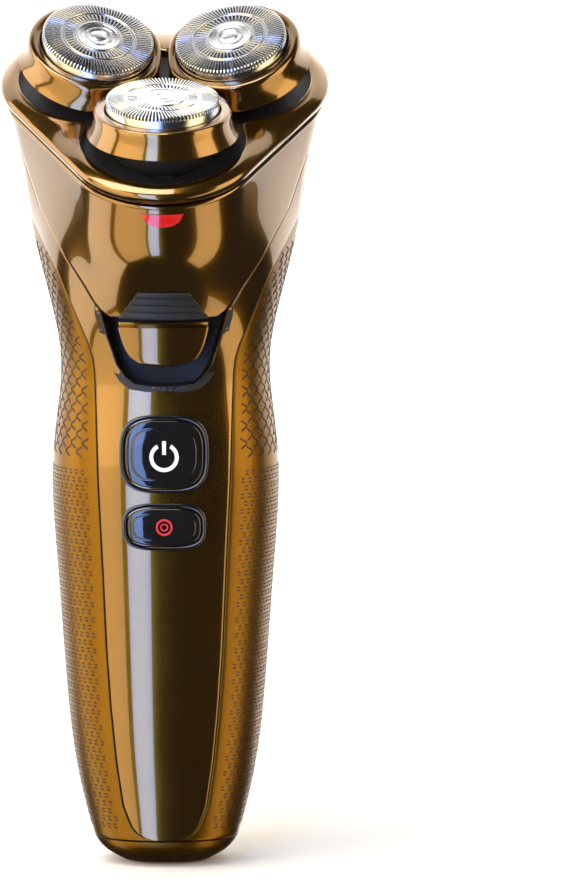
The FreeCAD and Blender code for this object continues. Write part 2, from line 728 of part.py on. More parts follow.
knuckle_arm = block(KNUCKLE + 0.25, 2.4 * KNUCKLE, HINGE_BACK - 2.4, HINGE_BACK, hinge_z - 1.5, hinge_z - 0.1)
side_knuckles = side_knuckles.fuse(knuckle_arm)
mirror = side_knuckles.mirror(Vector(0, 0, 0), Vector(1, 0, 0))
bowl_room = rod_x(HINGE_RADIUS + BODY_GAP, -KNUCKLE - 0.25, KNUCKLE + 0.25, HINGE_BACK, hinge_z)
neck_wall = neck_wall.cut(placed(bowl_room, head))
neck_lip = neck_lip.cut(placed(knuckle_room, head))
neck_wall = neck_wall.fuse(placed(side_knuckles, head)).fuse(placed(mirror, head))
neck_lip = neck_lip.cut(placed(side_knuckles, head)).cut(placed(mirror, head))
neck_wall = neck_wall.cut(placed(rod_x(PIN_RADIUS, -FAR, FAR, HINGE_BACK, hinge_z), head))
hinge_pin = rod_x(PIN_RADIUS, -2.4 * KNUCKLE, 2.4 * KNUCKLE, HINGE_BACK, hinge_z)
hinge_pin = placed(hinge_pin, head)

# ---- Lobes, caps and cutters ----
def wedge(angle, inset):
    """The third of the head around one cap, drawn in by half a seam."""
    start = (SEAM + inset) / math.sin(math.pi / 3)
    a = math.radians(angle)
    edge = []
    for x, y in ((start, 0.0), (start + 40.0, -80.0 * math.sin(math.pi / 3)), (start + 40.0, 80.0 * math.sin(math.pi / 3))):
        edge.append((x * math.cos(a) - y * math.sin(a), x * math.sin(a) + y * math.cos(a)))
    return placed(prism(edge, -40, 20), head)


LOBE_RIM = 13.0
SKIRT_RIM = 14.3
LOBE_WALL = 1.2
SIDE_WALL = 0.5
HOLE = CAP_RADIUS + BODY_GAP
lobe_under = LOBE_TOP + LOBE_WALL
FLANGE_RADIUS = HOLE + 0.25
CORE_TOP = LOBE_SKIRT - 1.1
CORE_LOW = DRIVE_CENTRE + 6.0
lobes = []
cores = []
seats = []
caps_out = []
for angle in LOBE_ANGLES:
    local = cap_frame(angle)
    form = revolved([(0, -LOBE_TOP), (LOBE_RIM - 0.4, -LOBE_TOP), (LOBE_RIM, -LOBE_TOP - 0.3),
                     (SKIRT_RIM, -LOBE_SKIRT), (0, -LOBE_SKIRT)])
    room = revolved([(0, -lobe_under), (LOBE_RIM - LOBE_WALL, -lobe_under),
                     (SKIRT_RIM - LOBE_WALL, -LOBE_SKIRT - 0.01), (0, -LOBE_SKIRT - 0.01)])
    form = placed(form, local).common(wedge(angle, 0.0))
    room = placed(room, local).common(wedge(angle, SIDE_WALL))
    hole = placed(cylinder(HOLE, -LOBE_SKIRT, 5), local)
    lobes.append(form.cut(room).cut(hole))
    floor_ring = placed(cylinder(SKIRT_RIM, -CORE_TOP - 1.0, -CORE_TOP), local).common(room)
    ball = Part.makeSphere(SEAT_RADIUS, Vector(0, 0, -DRIVE_CENTRE))
    ball = ball.common(cylinder(SEAT_RADIUS, -CORE_LOW, -CORE_TOP - 0.5))
    core = floor_ring.fuse(placed(ball, local))
    core = core.cut(placed(cylinder(7.0, -FAR, 5), local))
    core = core.cut(placed(cylinder(9.6, -CORE_TOP - 1.6, 5), local))
    cores.append(core)
    seats.append(placed(Part.makeSphere(SEAT_RADIUS + RUN_FIT, Vector(0, 0, -DRIVE_CENTRE)), local))

lobe_frame = placed(frame_plate, head)
for seat in seats:
    lobe_frame = lobe_frame.cut(seat)
lobe_frame = lobe_frame.fuse(placed(latch, head))
bowl = placed(bowl, head)

SPIDER_THICK = 1.0
HUB_OUT = 4.4
HUB_IN = 3.6
spider_high = -CORE_TOP - 1.6 + SPIDER_THICK
spider = tube(9.6, 8.0, -CORE_TOP - 1.6, spider_high).fuse(cylinder(5.6, -CORE_TOP - 1.6, spider_high))
for turn in (0, 60, 120):
    bar = block(-9.0, 9.0, -0.9, 0.9, -CORE_TOP - 1.6, spider_high)
    spider = spider.fuse(bar.rotated(Vector(0, 0, 0), Vector(0, 0, 1), turn))
spider = spider.cut(cylinder(HUB_OUT + RUN_FIT, -FAR, 0))

blade_high = -CAP_TOP - BLADE_GAP
disc_high = blade_high - BLADE_HEIGHT
blade_ring = tube(9.4, 4.7, disc_high - 0.5, disc_high)
for i in range(BLADE_COUNT):
    blade = block(5.3, 9.4, -0.25, 0.25, disc_high - 0.1, blade_high)
    blade = blade.rotated(Vector(7.4, 0, 0), Vector(0, 0, 1), 18)
    blade_ring = blade_ring.fuse(blade.rotated(Vector(0, 0, 0), Vector(0, 0, 1), 360.0 * i / BLADE_COUNT))
CARRIER_LOW = 4.0
hub_end = -CORE_TOP - 2.4
carrier = cylinder(8.6, -CARRIER_LOW, disc_high - 0.5).fuse(cylinder(4.7, disc_high - 0.6, disc_high + 0.2))
carrier = carrier.fuse(tube(HUB_OUT, HUB_IN, hub_end, -CARRIER_LOW))
cutter_cap = revolved([
    (0, -MEDALLION_THICK), (MEDALLION_RADIUS, -MEDALLION_THICK), (MEDALLION_RADIUS, 0),
    (CAP_RADIUS - 0.35, 0), (CAP_RADIUS, -0.35), (CAP_RADIUS, -lobe_under - 0.1),
    (FLANGE_RADIUS, -lobe_under - 0.1), (FLANGE_RADIUS, -lobe_under - 0.1 - CAP_FLANGE),
    (CAP_RADIUS, -lobe_under - 0.1 - CAP_FLANGE), (CAP_RADIUS, -CAP_HEIGHT),
    (CAP_RADIUS - CAP_WALL, -CAP_HEIGHT), (CAP_RADIUS - CAP_WALL, -CAP_TOP), (0, -CAP_TOP)])
medallion = revolved([(0, -MEDALLION_THICK), (MEDALLION_RADIUS, -MEDALLION_THICK),
                      (MEDALLION_RADIUS, 0.12), (MEDALLION_RADIUS - 0.3, 0.25), (0, 0.30)])
tongue = block(-1.9, 1.9, -0.45, 0.45, -DRIVE_CENTRE - 1.0, -CARRIER_LOW)


# ---- Symbols on the two buttons ----
def ring_y(outer_r, inner_r, z, y0, y1):
    return rod_y(outer_r, z, y0, y1).cut(rod_y(inner_r, z, y0 - 1, y1 + 1))


SYMBOL_THICK = 0.15
face = PANEL_FACE - BUTTON_PROUD
symbol_z = POWER[0] - 0.5
power_symbol = ring_y(2.8, 2.05, symbol_z, face - SYMBOL_THICK, face)
power_symbol = power_symbol.cut(block(-1.0, 1.0, -FAR, 0, symbol_z + 1.0, symbol_z + 5))
power_symbol = power_symbol.fuse(block(-0.375, 0.375, face - SYMBOL_THICK, face, symbol_z + 0.4, symbol_z + 3.2))
mode_symbol = ring_y(1.6, 1.1, MODE[0], face - SYMBOL_THICK, face)

# ---- Write every piece ----
socket_floor = socket_floor.cut(charge_socket)
pieces = {
    "rear_shell": rear_shell,
    "front_panel": front_panel,
    "release_well": release_well,
    "inner_chassis": chassis.fuse(socket_floor),
    "battery_cell": battery,
    "battery_tabs": battery_tabs,
    "circuit_board": board,
    "tact_switches": Part.makeCompound(switches),
    "charge_socket": charge_socket,
    "socket_tongue": socket_tongue,
    "socket_seal": socket_seal,
    "shoulder_deck": shoulder_deck,
    "motor_can": motor_can,
    "motor_end_cap": motor_end_cap,
    "mouth_seal": mouth_seal,
    "power_bezel": bezels[0],
    "mode_bezel": bezels[1],
    "motor_shaft": motor_shaft,
    "motor_winding": motor_rotor,
    "drive_dog": drive_dog,
    "power_button": caps[0],
    "power_symbol": power_symbol,
    "mode_button": caps[1],
    "mode_symbol": mode_symbol,
    "release_pad": release_pad,
    "neck_housing": neck_wall,
    "neck_rim": neck_lip,
    "gear_plate": gear_plate,
    "gear_cover": gear_cover,
    "gear_screws": gear_screws,
    "thumb_ribs": thumb_ribs,
    "hinge_pin": hinge_pin,
    "sun_gear": sun_gear,
    "chamber_button": release_button,
    "hair_chamber": bowl,
    "lobe_frame": lobe_frame,
}
for k, place in enumerate(("front", "right", "left")):
    local = cap_frame(LOBE_ANGLES[k])
    across = tongue.rotated(Vector(0, 0, 0), Vector(0, 0, 1), 90 - LOBE_ANGLES[k])
    pieces["driven_gear_" + place] = driven_gears[k]
    pieces["lobe_shell_" + place] = lobes[k]
    pieces["lobe_core_" + place] = cores[k]
    pieces["cutter_retainer_" + place] = placed(spider, local)
    pieces["cutter_cap_" + place] = placed(cutter_cap, local)
    pieces["medallion_" + place] = placed(medallion, local)
    pieces["blade_ring_" + place] = placed(blade_ring, local)
    pieces["blade_carrier_" + place] = placed(carrier.fuse(across), local)
for name, shape in pieces.items():
    save(name, shape)
print(len(pieces), "pieces")
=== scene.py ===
"""Visual model of a cordless rotary shaver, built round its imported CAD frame.

Metres throughout; +Z runs up the handle, -Y faces the front panel, +X is to the right
seen from the front. Lengths named MM are in millimetres and go through the mm() helper.
"""

import json
import logging
import math
from dataclasses import dataclass
from enum import Enum
from typing import Callable, Iterable, Sequence

import bmesh
import bpy
from mathutils import Matrix, Vector

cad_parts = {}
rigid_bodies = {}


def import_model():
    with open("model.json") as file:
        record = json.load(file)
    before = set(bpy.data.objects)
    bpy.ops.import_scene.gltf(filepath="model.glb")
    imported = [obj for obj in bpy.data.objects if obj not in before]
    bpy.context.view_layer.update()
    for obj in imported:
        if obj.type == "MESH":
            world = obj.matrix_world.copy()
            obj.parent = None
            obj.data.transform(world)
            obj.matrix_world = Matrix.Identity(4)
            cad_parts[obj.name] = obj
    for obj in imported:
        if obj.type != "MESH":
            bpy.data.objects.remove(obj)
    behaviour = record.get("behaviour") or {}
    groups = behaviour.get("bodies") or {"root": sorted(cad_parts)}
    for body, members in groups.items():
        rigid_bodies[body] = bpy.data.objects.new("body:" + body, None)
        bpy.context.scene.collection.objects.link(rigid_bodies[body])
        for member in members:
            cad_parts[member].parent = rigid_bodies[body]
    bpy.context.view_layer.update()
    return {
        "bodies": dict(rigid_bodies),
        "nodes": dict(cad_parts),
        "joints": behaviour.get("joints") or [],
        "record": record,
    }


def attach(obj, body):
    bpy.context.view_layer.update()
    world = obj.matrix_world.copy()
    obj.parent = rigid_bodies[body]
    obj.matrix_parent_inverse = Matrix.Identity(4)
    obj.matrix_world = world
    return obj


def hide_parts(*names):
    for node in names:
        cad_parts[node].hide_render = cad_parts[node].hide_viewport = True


logging.basicConfig(level=logging.INFO, format="%(message)s")
LOG = logging.getLogger("shaver")

Point = tuple[float, float, float]


def mm(value: float) -> float:
    """A length in millimetres as metres."""
    return value / 1000.0


class Side(Enum):
    """Which half of the body a patch lies on."""

    RIGHT = 1
    LEFT = -1


class Place(Enum):
    """The three cutter stations, by their direction round the drive axis in degrees."""

    FRONT = -90.0
    RIGHT = 30.0
    LEFT = 150.0

    @property
    def word(self) -> str:
        """The station's name as the CAD nodes spell it."""
        return self.name.lower()


# --------------------------------------------------------------------------------------
# Driving sizes
# --------------------------------------------------------------------------------------


@dataclass(frozen=True)
class SkinRow:
    """One cross-section of the body's skin."""

    share: float
    wide: float
    front: float
    rear: float
    tilt: float
    blend: float


@dataclass(frozen=True)
class BodySizes:
    """The sizes, in millimetres, that the body skin is made from."""

    length: float = 144.5
    half_width: float = 21.7
    half_depth: float = 17.5
    head_tilt: float = 28.0
    head_forward: float = 13.0
    head_raise: float = 11.5
    cap_circle: float = 14.4
    bowl_level: float = 13.0
    bowl_corner: float = 17.9
    power: float = 2.35
    shoulder_step: float = -3.0
    rows: tuple[SkinRow, ...] = (
        SkinRow(0.000, 0.400, 0.40, 0.42, 0.00, 0.00),
        SkinRow(0.010, 0.515, 0.53, 0.55, 0.00, 0.00),
        SkinRow(0.044, 0.668, 0.69, 0.71, 0.00, 0.00),
        SkinRow(0.110, 0.774, 0.80, 0.84, 0.00, 0.00),
        SkinRow(0.250, 0.890, 0.91, 0.96, 0.00, 0.00),
        SkinRow(0.410, 0.968, 0.97, 1.03, 0.00, 0.00),
        SkinRow(0.540, 1.000, 1.00, 1.06, 0.00, 0.00),
        SkinRow(0.606, 0.955, 0.97, 1.04, 0.02, 0.00),
        SkinRow(0.668, 0.925, 0.95, 1.02, 0.08, 0.00),
        SkinRow(0.732, 0.990, 1.03, 1.04, 0.22, 0.08),
        SkinRow(0.800, 1.115, 1.22, 1.10, 0.42, 0.30),
        SkinRow(0.862, 1.213, 1.42, 1.18, 0.64, 0.60),
        SkinRow(0.930, 1.290, 1.72, 1.32, 0.84, 0.85),
    )


BODY = BodySizes()


class Spline:
    """A natural cubic spline through rising knots, for one number that varies along the body."""

    def __init__(self, knots: Sequence[float], values: Sequence[float]) -> None:
        """Args:
            knots: rising positions.
            values: the value at each position.
        """
        self.knots = list(knots)
        self.values = list(values)
        count = len(self.knots)
        gaps = [self.knots[i + 1] - self.knots[i] for i in range(count - 1)]
        lower = [0.0] * count
        upper = [0.0] * count
        self.bend = [0.0] * count
        for i in range(1, count - 1):
            rise = (self.values[i + 1] - self.values[i]) / gaps[i]
            rise -= (self.values[i] - self.values[i - 1]) / gaps[i - 1]
            pivot = 2 * (gaps[i - 1] + gaps[i]) - gaps[i - 1] * lower[i - 1]
            lower[i] = gaps[i] / pivot
            upper[i] = (6 * rise - gaps[i - 1] * upper[i - 1]) / pivot
        for i in range(count - 2, 0, -1):
            self.bend[i] = upper[i] - lower[i] * self.bend[i + 1]

    def __call__(self, x: float) -> float:
        """Returns the value at x, held inside the knots."""
        x = min(max(x, self.knots[0]), self.knots[-1])
        i = 0
        while i < len(self.knots) - 2 and x > self.knots[i + 1]:
            i += 1
        gap = self.knots[i + 1] - self.knots[i]
        a = (self.knots[i + 1] - x) / gap
        b = 1 - a
        curve = (a ** 3 - a) * self.bend[i] + (b ** 3 - b) * self.bend[i + 1]
        return a * self.values[i] + b * self.values[i + 1] + curve * gap * gap / 6


def oval_reach(phi: float, width: float, front: float, rear: float, power: float) -> float:
    """Returns how far a rounded oval reaches in direction phi (radians)."""
    c, s = math.cos(phi), math.sin(phi)
    depth = rear if s > 0 else front
    return (abs(c / width) ** power + abs(s / depth) ** power) ** (-1 / power)


def triangle_reach(phi: float, corner: float, radius: float) -> float:
    """Returns how far a rounded triangle reaches in direction phi (radians)."""
    third = math.pi / 3
    off = min(abs(math.remainder(phi - math.radians(p.value), 2 * math.pi)) for p in Place)
    if off < math.atan2(radius * math.sin(third), corner + radius * math.cos(third)):
        side = corner * math.sin(off)
        return corner * math.cos(off) + math.sqrt(radius ** 2 - side ** 2)
    return (corner * math.cos(third) + radius) / math.cos(third - off)


def trefoil_reach(phi: float, corner: float, radius: float, power: float = 14.0) -> float:
    """Returns how far three joined circles reach in direction phi (radians)."""
    total = 0.0
    for place in Place:
        off = phi - math.radians(place.value)
        side = corner * math.sin(off)
        if abs(side) < radius:
            arc = corner * math.cos(off) + math.sqrt(radius ** 2 - side ** 2)
            total += max(arc, 0.1) ** power
    return total ** (1 / power)


class HeadFrame:
    """The tilted frame of the cutter head: its origin is the middle of the cap plane."""

    def __init__(self, body: BodySizes) -> None:
        """Args:
            body: the body's sizes.
        """
        self.body = body
        self.origin = Vector((0, -body.head_forward, body.length + body.head_raise))
        self.tilt = math.radians(body.head_tilt)
        self.matrix = Matrix.Translation(self.origin) @ Matrix.Rotation(self.tilt, 4, "X")

    def at(self, x: float, y: float, z: float) -> Vector:
        """Returns a head point, in millimetres, in the row frame in millimetres."""
        return self.matrix @ Vector((x, y, z))

    def station(self, place: Place, dish: float = 11.2) -> Matrix:
        """Returns one cutter station's frame, in millimetres.

        Args:
            place: which station.
            dish: how far the caps lean in, in degrees.
        """
        spin = Matrix.Rotation(math.radians(place.value), 4, "Z")
        out = Matrix.Translation(Vector((self.body.cap_circle, 0, 0)))
        lean = Matrix.Rotation(math.radians(-dish), 4, "Y")
        return self.matrix @ spin @ out @ lean


HEAD = HeadFrame(BODY)


class BodySkin:
    """The smooth outer skin shared by the handle, its front panel and the neck."""

    def __init__(self, body: BodySizes) -> None:
        """Args:
            body: the body's sizes.
        """
        self.body = body
        self.top_centre = HEAD.at(0, 0, -body.bowl_level)
        reach = body.cap_circle * math.cos(math.radians(30)) + body.bowl_corner
        front = body.cap_circle + body.bowl_corner
        rear = body.cap_circle / 2 + body.bowl_corner
        top = SkinRow(
            1.0, reach / body.half_width, front / body.half_depth, rear / body.half_depth, 1.0, 1.0
        )
        rows = list(body.rows) + [top]
        knots = [r.share for r in rows]
        heights = [r.share * body.length for r in rows]
        heights[-1] = self.top_centre.z
        slides = [self.top_centre.y * r.tilt ** 1.6 for r in rows]
        self.width = Spline(knots, [r.wide for r in rows])
        self.front = Spline(knots, [r.front for r in rows])
        self.rear = Spline(knots, [r.rear for r in rows])
        self.tilt = Spline(knots, [r.tilt for r in rows])
        self.blend = Spline(knots, [r.blend for r in rows])
        self.height = Spline(knots, heights)
        self.slide = Spline(knots, slides)
        self.reach = reach

    def point(self, share: float, phi: float, out: float = 0.0) -> Vector:
        """Returns a point on the skin in millimetres.

        Args:
            share: how far up the body, from 0 at the foot to 1 at the bowl.
            phi: direction round the section in radians; -90 degrees is the front.
            out: how far outside the skin the point lies.
        """
        body = self.body
        width = self.width(share) * body.half_width
        fore = self.front(share) * body.half_depth
        aft = self.rear(share) * body.half_depth
        scale = width / self.reach
        blend = min(max(self.blend(share), 0.0), 1.0)
        oval = oval_reach(phi, width, fore, aft, body.power)
        tri = triangle_reach(phi, body.cap_circle * scale, body.bowl_corner * scale)
        r = (1 - blend) * oval + blend * tri + out
        tilt = math.radians(body.head_tilt * self.tilt(share))
        x, y = r * math.cos(phi), r * math.sin(phi)
        z = self.height(share)
        return Vector((x, self.slide(share) + y * math.cos(tilt), z + y * math.sin(tilt)))


SKIN = BodySkin(BODY)


# --------------------------------------------------------------------------------------
# Mesh helpers
# --------------------------------------------------------------------------------------


class MeshBuilder:
    """Collects quads in millimetres and turns them into one smooth-shaded object in metres."""

    def __init__(self, name: str) -> None:
        """Args:
            name: the object's name.
        """
        self.name = name
        self.points: list[Vector] = []
        self.faces: list[tuple[int, ...]] = []

    def grid(self, rows: Sequence[Sequence[Vector]], loop: bool = False, flip: bool = False) -> None:
        """Adds a grid of quads.

        Args:
            rows: rows of points, all the same length.
            loop: True if each row closes on itself.
            flip: True to turn the faces over.
        """
        start = len(self.points)
        width = len(rows[0])
        for row in rows:
            self.points.extend(row)
        span = width if loop else width - 1
        for i in range(len(rows) - 1):
            for j in range(span):
                a = start + i * width + j
                b = start + i * width + (j + 1) % width
                face = (a, b, b + width, a + width)
                self.faces.append(face[::-1] if flip else face)

    def fan(self, ring: Sequence[Vector], centre: Vector, flip: bool = False) -> None:
        """Closes a ring of points onto one centre point."""
        start = len(self.points)
        self.points.extend(ring)
        self.points.append(centre)
        hub = len(self.points) - 1
        for j in range(len(ring)):
            face = (start + j, start + (j + 1) % len(ring), hub)
            self.faces.append(face[::-1] if flip else face)

    def solid(self, corners: Sequence[Vector], depth: Vector) -> None:
        """Adds a closed prism: a flat outline pushed along depth."""
        start = len(self.points)
        count = len(corners)
        self.points.extend(corners)
        self.points.extend([c + depth for c in corners])
        self.faces.append(tuple(range(start + count - 1, start - 1, -1)))
        self.faces.append(tuple(range(start + count, start + 2 * count)))
        for j in range(count):
            k = (j + 1) % count
            self.faces.append((start + j, start + k, start + count + k, start + count + j))

    def build(self, sharp: float = 40.0, merge: float = 0.0005) -> bpy.types.Object:
        """Makes the object.

        Args:
            sharp: edges that bend more than this many degrees stay crisp.
            merge: points closer than this many millimetres are joined.

        Returns:
            The new object, linked to the scene.
        """
        mesh = bpy.data.meshes.new(self.name)
        mesh.from_pydata([tuple(mm(c) for c in p) for p in self.points], [], self.faces)
        shape = bmesh.new()
        shape.from_mesh(mesh)
        if merge > 0:
            bmesh.ops.remove_doubles(shape, verts=shape.verts, dist=mm(merge))
        bmesh.ops.recalc_face_normals(shape, faces=shape.faces)
        shape.to_mesh(mesh)
        shape.free()
        mesh.shade_smooth()
        mesh.set_sharp_from_angle(angle=math.radians(sharp))
        made = bpy.data.objects.new(self.name, mesh)
        bpy.context.scene.collection.objects.link(made)
        LOG.info("%s: %d faces", self.name, len(mesh.polygons))
        return made


def lerp(a: float, b: float, t: float) -> float:
    """Returns the value a share t of the way from a to b."""
    return a + (b - a) * t


def spread(count: int) -> list[float]:
    """Returns count numbers from 0 to 1, evenly spaced."""
    return [i / (count - 1) for i in range(count)]


def ring_steps(count: int) -> list[float]:
    """Returns count directions evenly round a circle, in radians."""
    return [2 * math.pi * i / count for i in range(count)]


def polyline(rows: Sequence[tuple[float, float]]) -> Callable[[float], float]:
    """Returns x as a function of z along a line given as (x share, z share) rows."""
    xs = [BODY.half_width * r[0] for r in rows]
    zs = [BODY.length * r[1] for r in rows]

    def read(z: float) -> float:
        if z <= zs[0]:
            return xs[0]
        for i in range(len(zs) - 1):
            if z <= zs[i + 1]:
                return lerp(xs[i], xs[i + 1], (z - zs[i]) / max(zs[i + 1] - zs[i], 1e-6))
        return xs[-1]

    return read


@dataclass(frozen=True)
class Outlines:
    """The lines on the skin where one piece meets the next, as shares of width and length."""

    shoulder: tuple[tuple[float, float], ...] = (
        (0.000, 0.7369), (0.438, 0.7370), (0.553, 0.7495), (0.613, 0.761), (0.700, 0.783), (0.899, 0.827),
        (1.101, 0.880), (1.189, 0.918), (1.255, 0.946),
    )
    rear_shoulder: tuple[tuple[float, float], ...] = (
        (0.000, 0.8599), (0.600, 0.8600), (0.900, 0.8720), (1.101, 0.8950), (1.189, 0.918), (1.255, 0.946),
    )
    panel: tuple[tuple[float, float], ...] = (
        (0.000, 0.0345), (0.100, 0.0350), (0.184, 0.0380), (0.250, 0.0440), (0.300, 0.0530),
        (0.373, 0.0813), (0.430, 0.1400), (0.479, 0.2150), (0.516, 0.2960), (0.548, 0.4060),
        (0.585, 0.5200), (0.604, 0.6190), (0.615, 0.6640), (0.630, 0.6820), (0.666, 0.7000),
        (0.765, 0.7350), (0.940, 0.7970), (1.180, 0.8630), (1.500, 0.9300),
    )
    well: tuple[tuple[float, float], ...] = (
        (0.000, 0.6458), (0.115, 0.6465), (0.200, 0.6478), (0.260, 0.6500), (0.345, 0.6600), (0.410, 0.6750),
        (0.455, 0.6950), (0.500, 0.7150), (0.560, 0.7500),
    )


LINES = Outlines()


class SkinPatch:
    """One piece of the body skin between two lines, with rolled edges and a wall behind."""

    ROLL: float = 0.22
    WALL: float = 1.4

    def __init__(self, side: Side) -> None:
        """Args:
            side: the half of the body that the patch lies on.
        """
        self.side = side

    def crossing(self, share: float, line: Callable[[float], float], low: float, high: float) -> float:
        """Finds the direction where a line crosses one section.

        Args:
            share: the section.
            line: x as a function of z, in millimetres.
            low: direction, in radians, on the line's inner side.
            high: direction on its outer side.

        Returns:
            The direction in radians, held between low and high.
        """
        def beyond(phi: float) -> bool:
            p = SKIN.point(share, phi)
            return p.x > line(p.z)

        if beyond(low):
            return low
        if not beyond(high):
            return high
        for _ in range(26):
            mid = (low + high) / 2
            if beyond(mid):
                high = mid
            else:
                low = mid
        return (low + high) / 2

    def flip(self, p: Vector) -> Vector:
        """Returns the point on this patch's side."""
        return Vector((p.x * self.side.value, p.y, p.z))

    def surface(
        self,
        builder: MeshBuilder,
        shares: Sequence[float],
        start: Callable[[float], float],
        end: Callable[[float], float],
        columns: int,
        rolled: tuple[bool, bool, bool, bool] = (True, True, True, True),
        out: float = 0.0,
    ) -> None:
        """Adds the patch to a mesh.

        Args:
            builder: the mesh.
            shares: the sections, rising.
            start: the first direction at a section, in radians.
            end: the last direction at a section.
            columns: how many points lie across.
            rolled: which edges roll inwards: bottom, top, start, end.
            out: how far the patch stands proud of the skin.
        """
        rows = []
        for share in shares:
            a, b = start(share), end(share)
            rows.append([SKIN.point(share, lerp(a, b, t), out) for t in spread(columns)])
        inner = []
        for i, share in enumerate(shares):
            a, b = start(share), end(share)
            inner.append([SKIN.point(share, lerp(a, b, t), out - self.WALL) for t in spread(columns)])

        def rim(outer_line: Sequence[Vector], inner_line: Sequence[Vector], into: Sequence[Vector]) -> list:
            lines = []
            for step in (0.0, 0.35, 0.7, 1.0):
                turn = step * math.pi / 2
                row = []
                for p, q, k in zip(outer_line, inner_line, into):
                    depth = (q - p).normalized()
                    away = (p - k).normalized()
                    roll = self.ROLL
                    row.append(p + away * roll * math.sin(turn) + depth * roll * (1 - math.cos(turn)))
                lines.append(row)
            lines.append([q + (r - p) for p, q, r in zip(outer_line, inner_line, lines[-1])])
            return [[self.flip(v) for v in row] for row in lines]

        builder.grid([[self.flip(p) for p in row] for row in rows])
        bottom, top, first, last = rolled
        if bottom:
            builder.grid(rim(rows[0], inner[0], rows[1]))
        if top:
            builder.grid(rim(rows[-1], inner[-1], rows[-2]))
        if first:
            edge = [r[0] for r in rows], [r[0] for r in inner], [r[1] for r in rows]
            builder.grid(rim(*edge))
        if last:
            edge = [r[-1] for r in rows], [r[-1] for r in inner], [r[-2] for r in rows]
            builder.grid(rim(*edge))


# --------------------------------------------------------------------------------------
# Shared shader effects, each one node group built once
# --------------------------------------------------------------------------------------


class Effect(Enum):
    """The shared shader effects."""

    EDGE_WEAR = "edge_wear"
    FINE_GRAIN = "fine_grain"
    SMUDGE = "smudge"
    RING_BRUSH = "ring_brush"
    FLAKE = "flake"


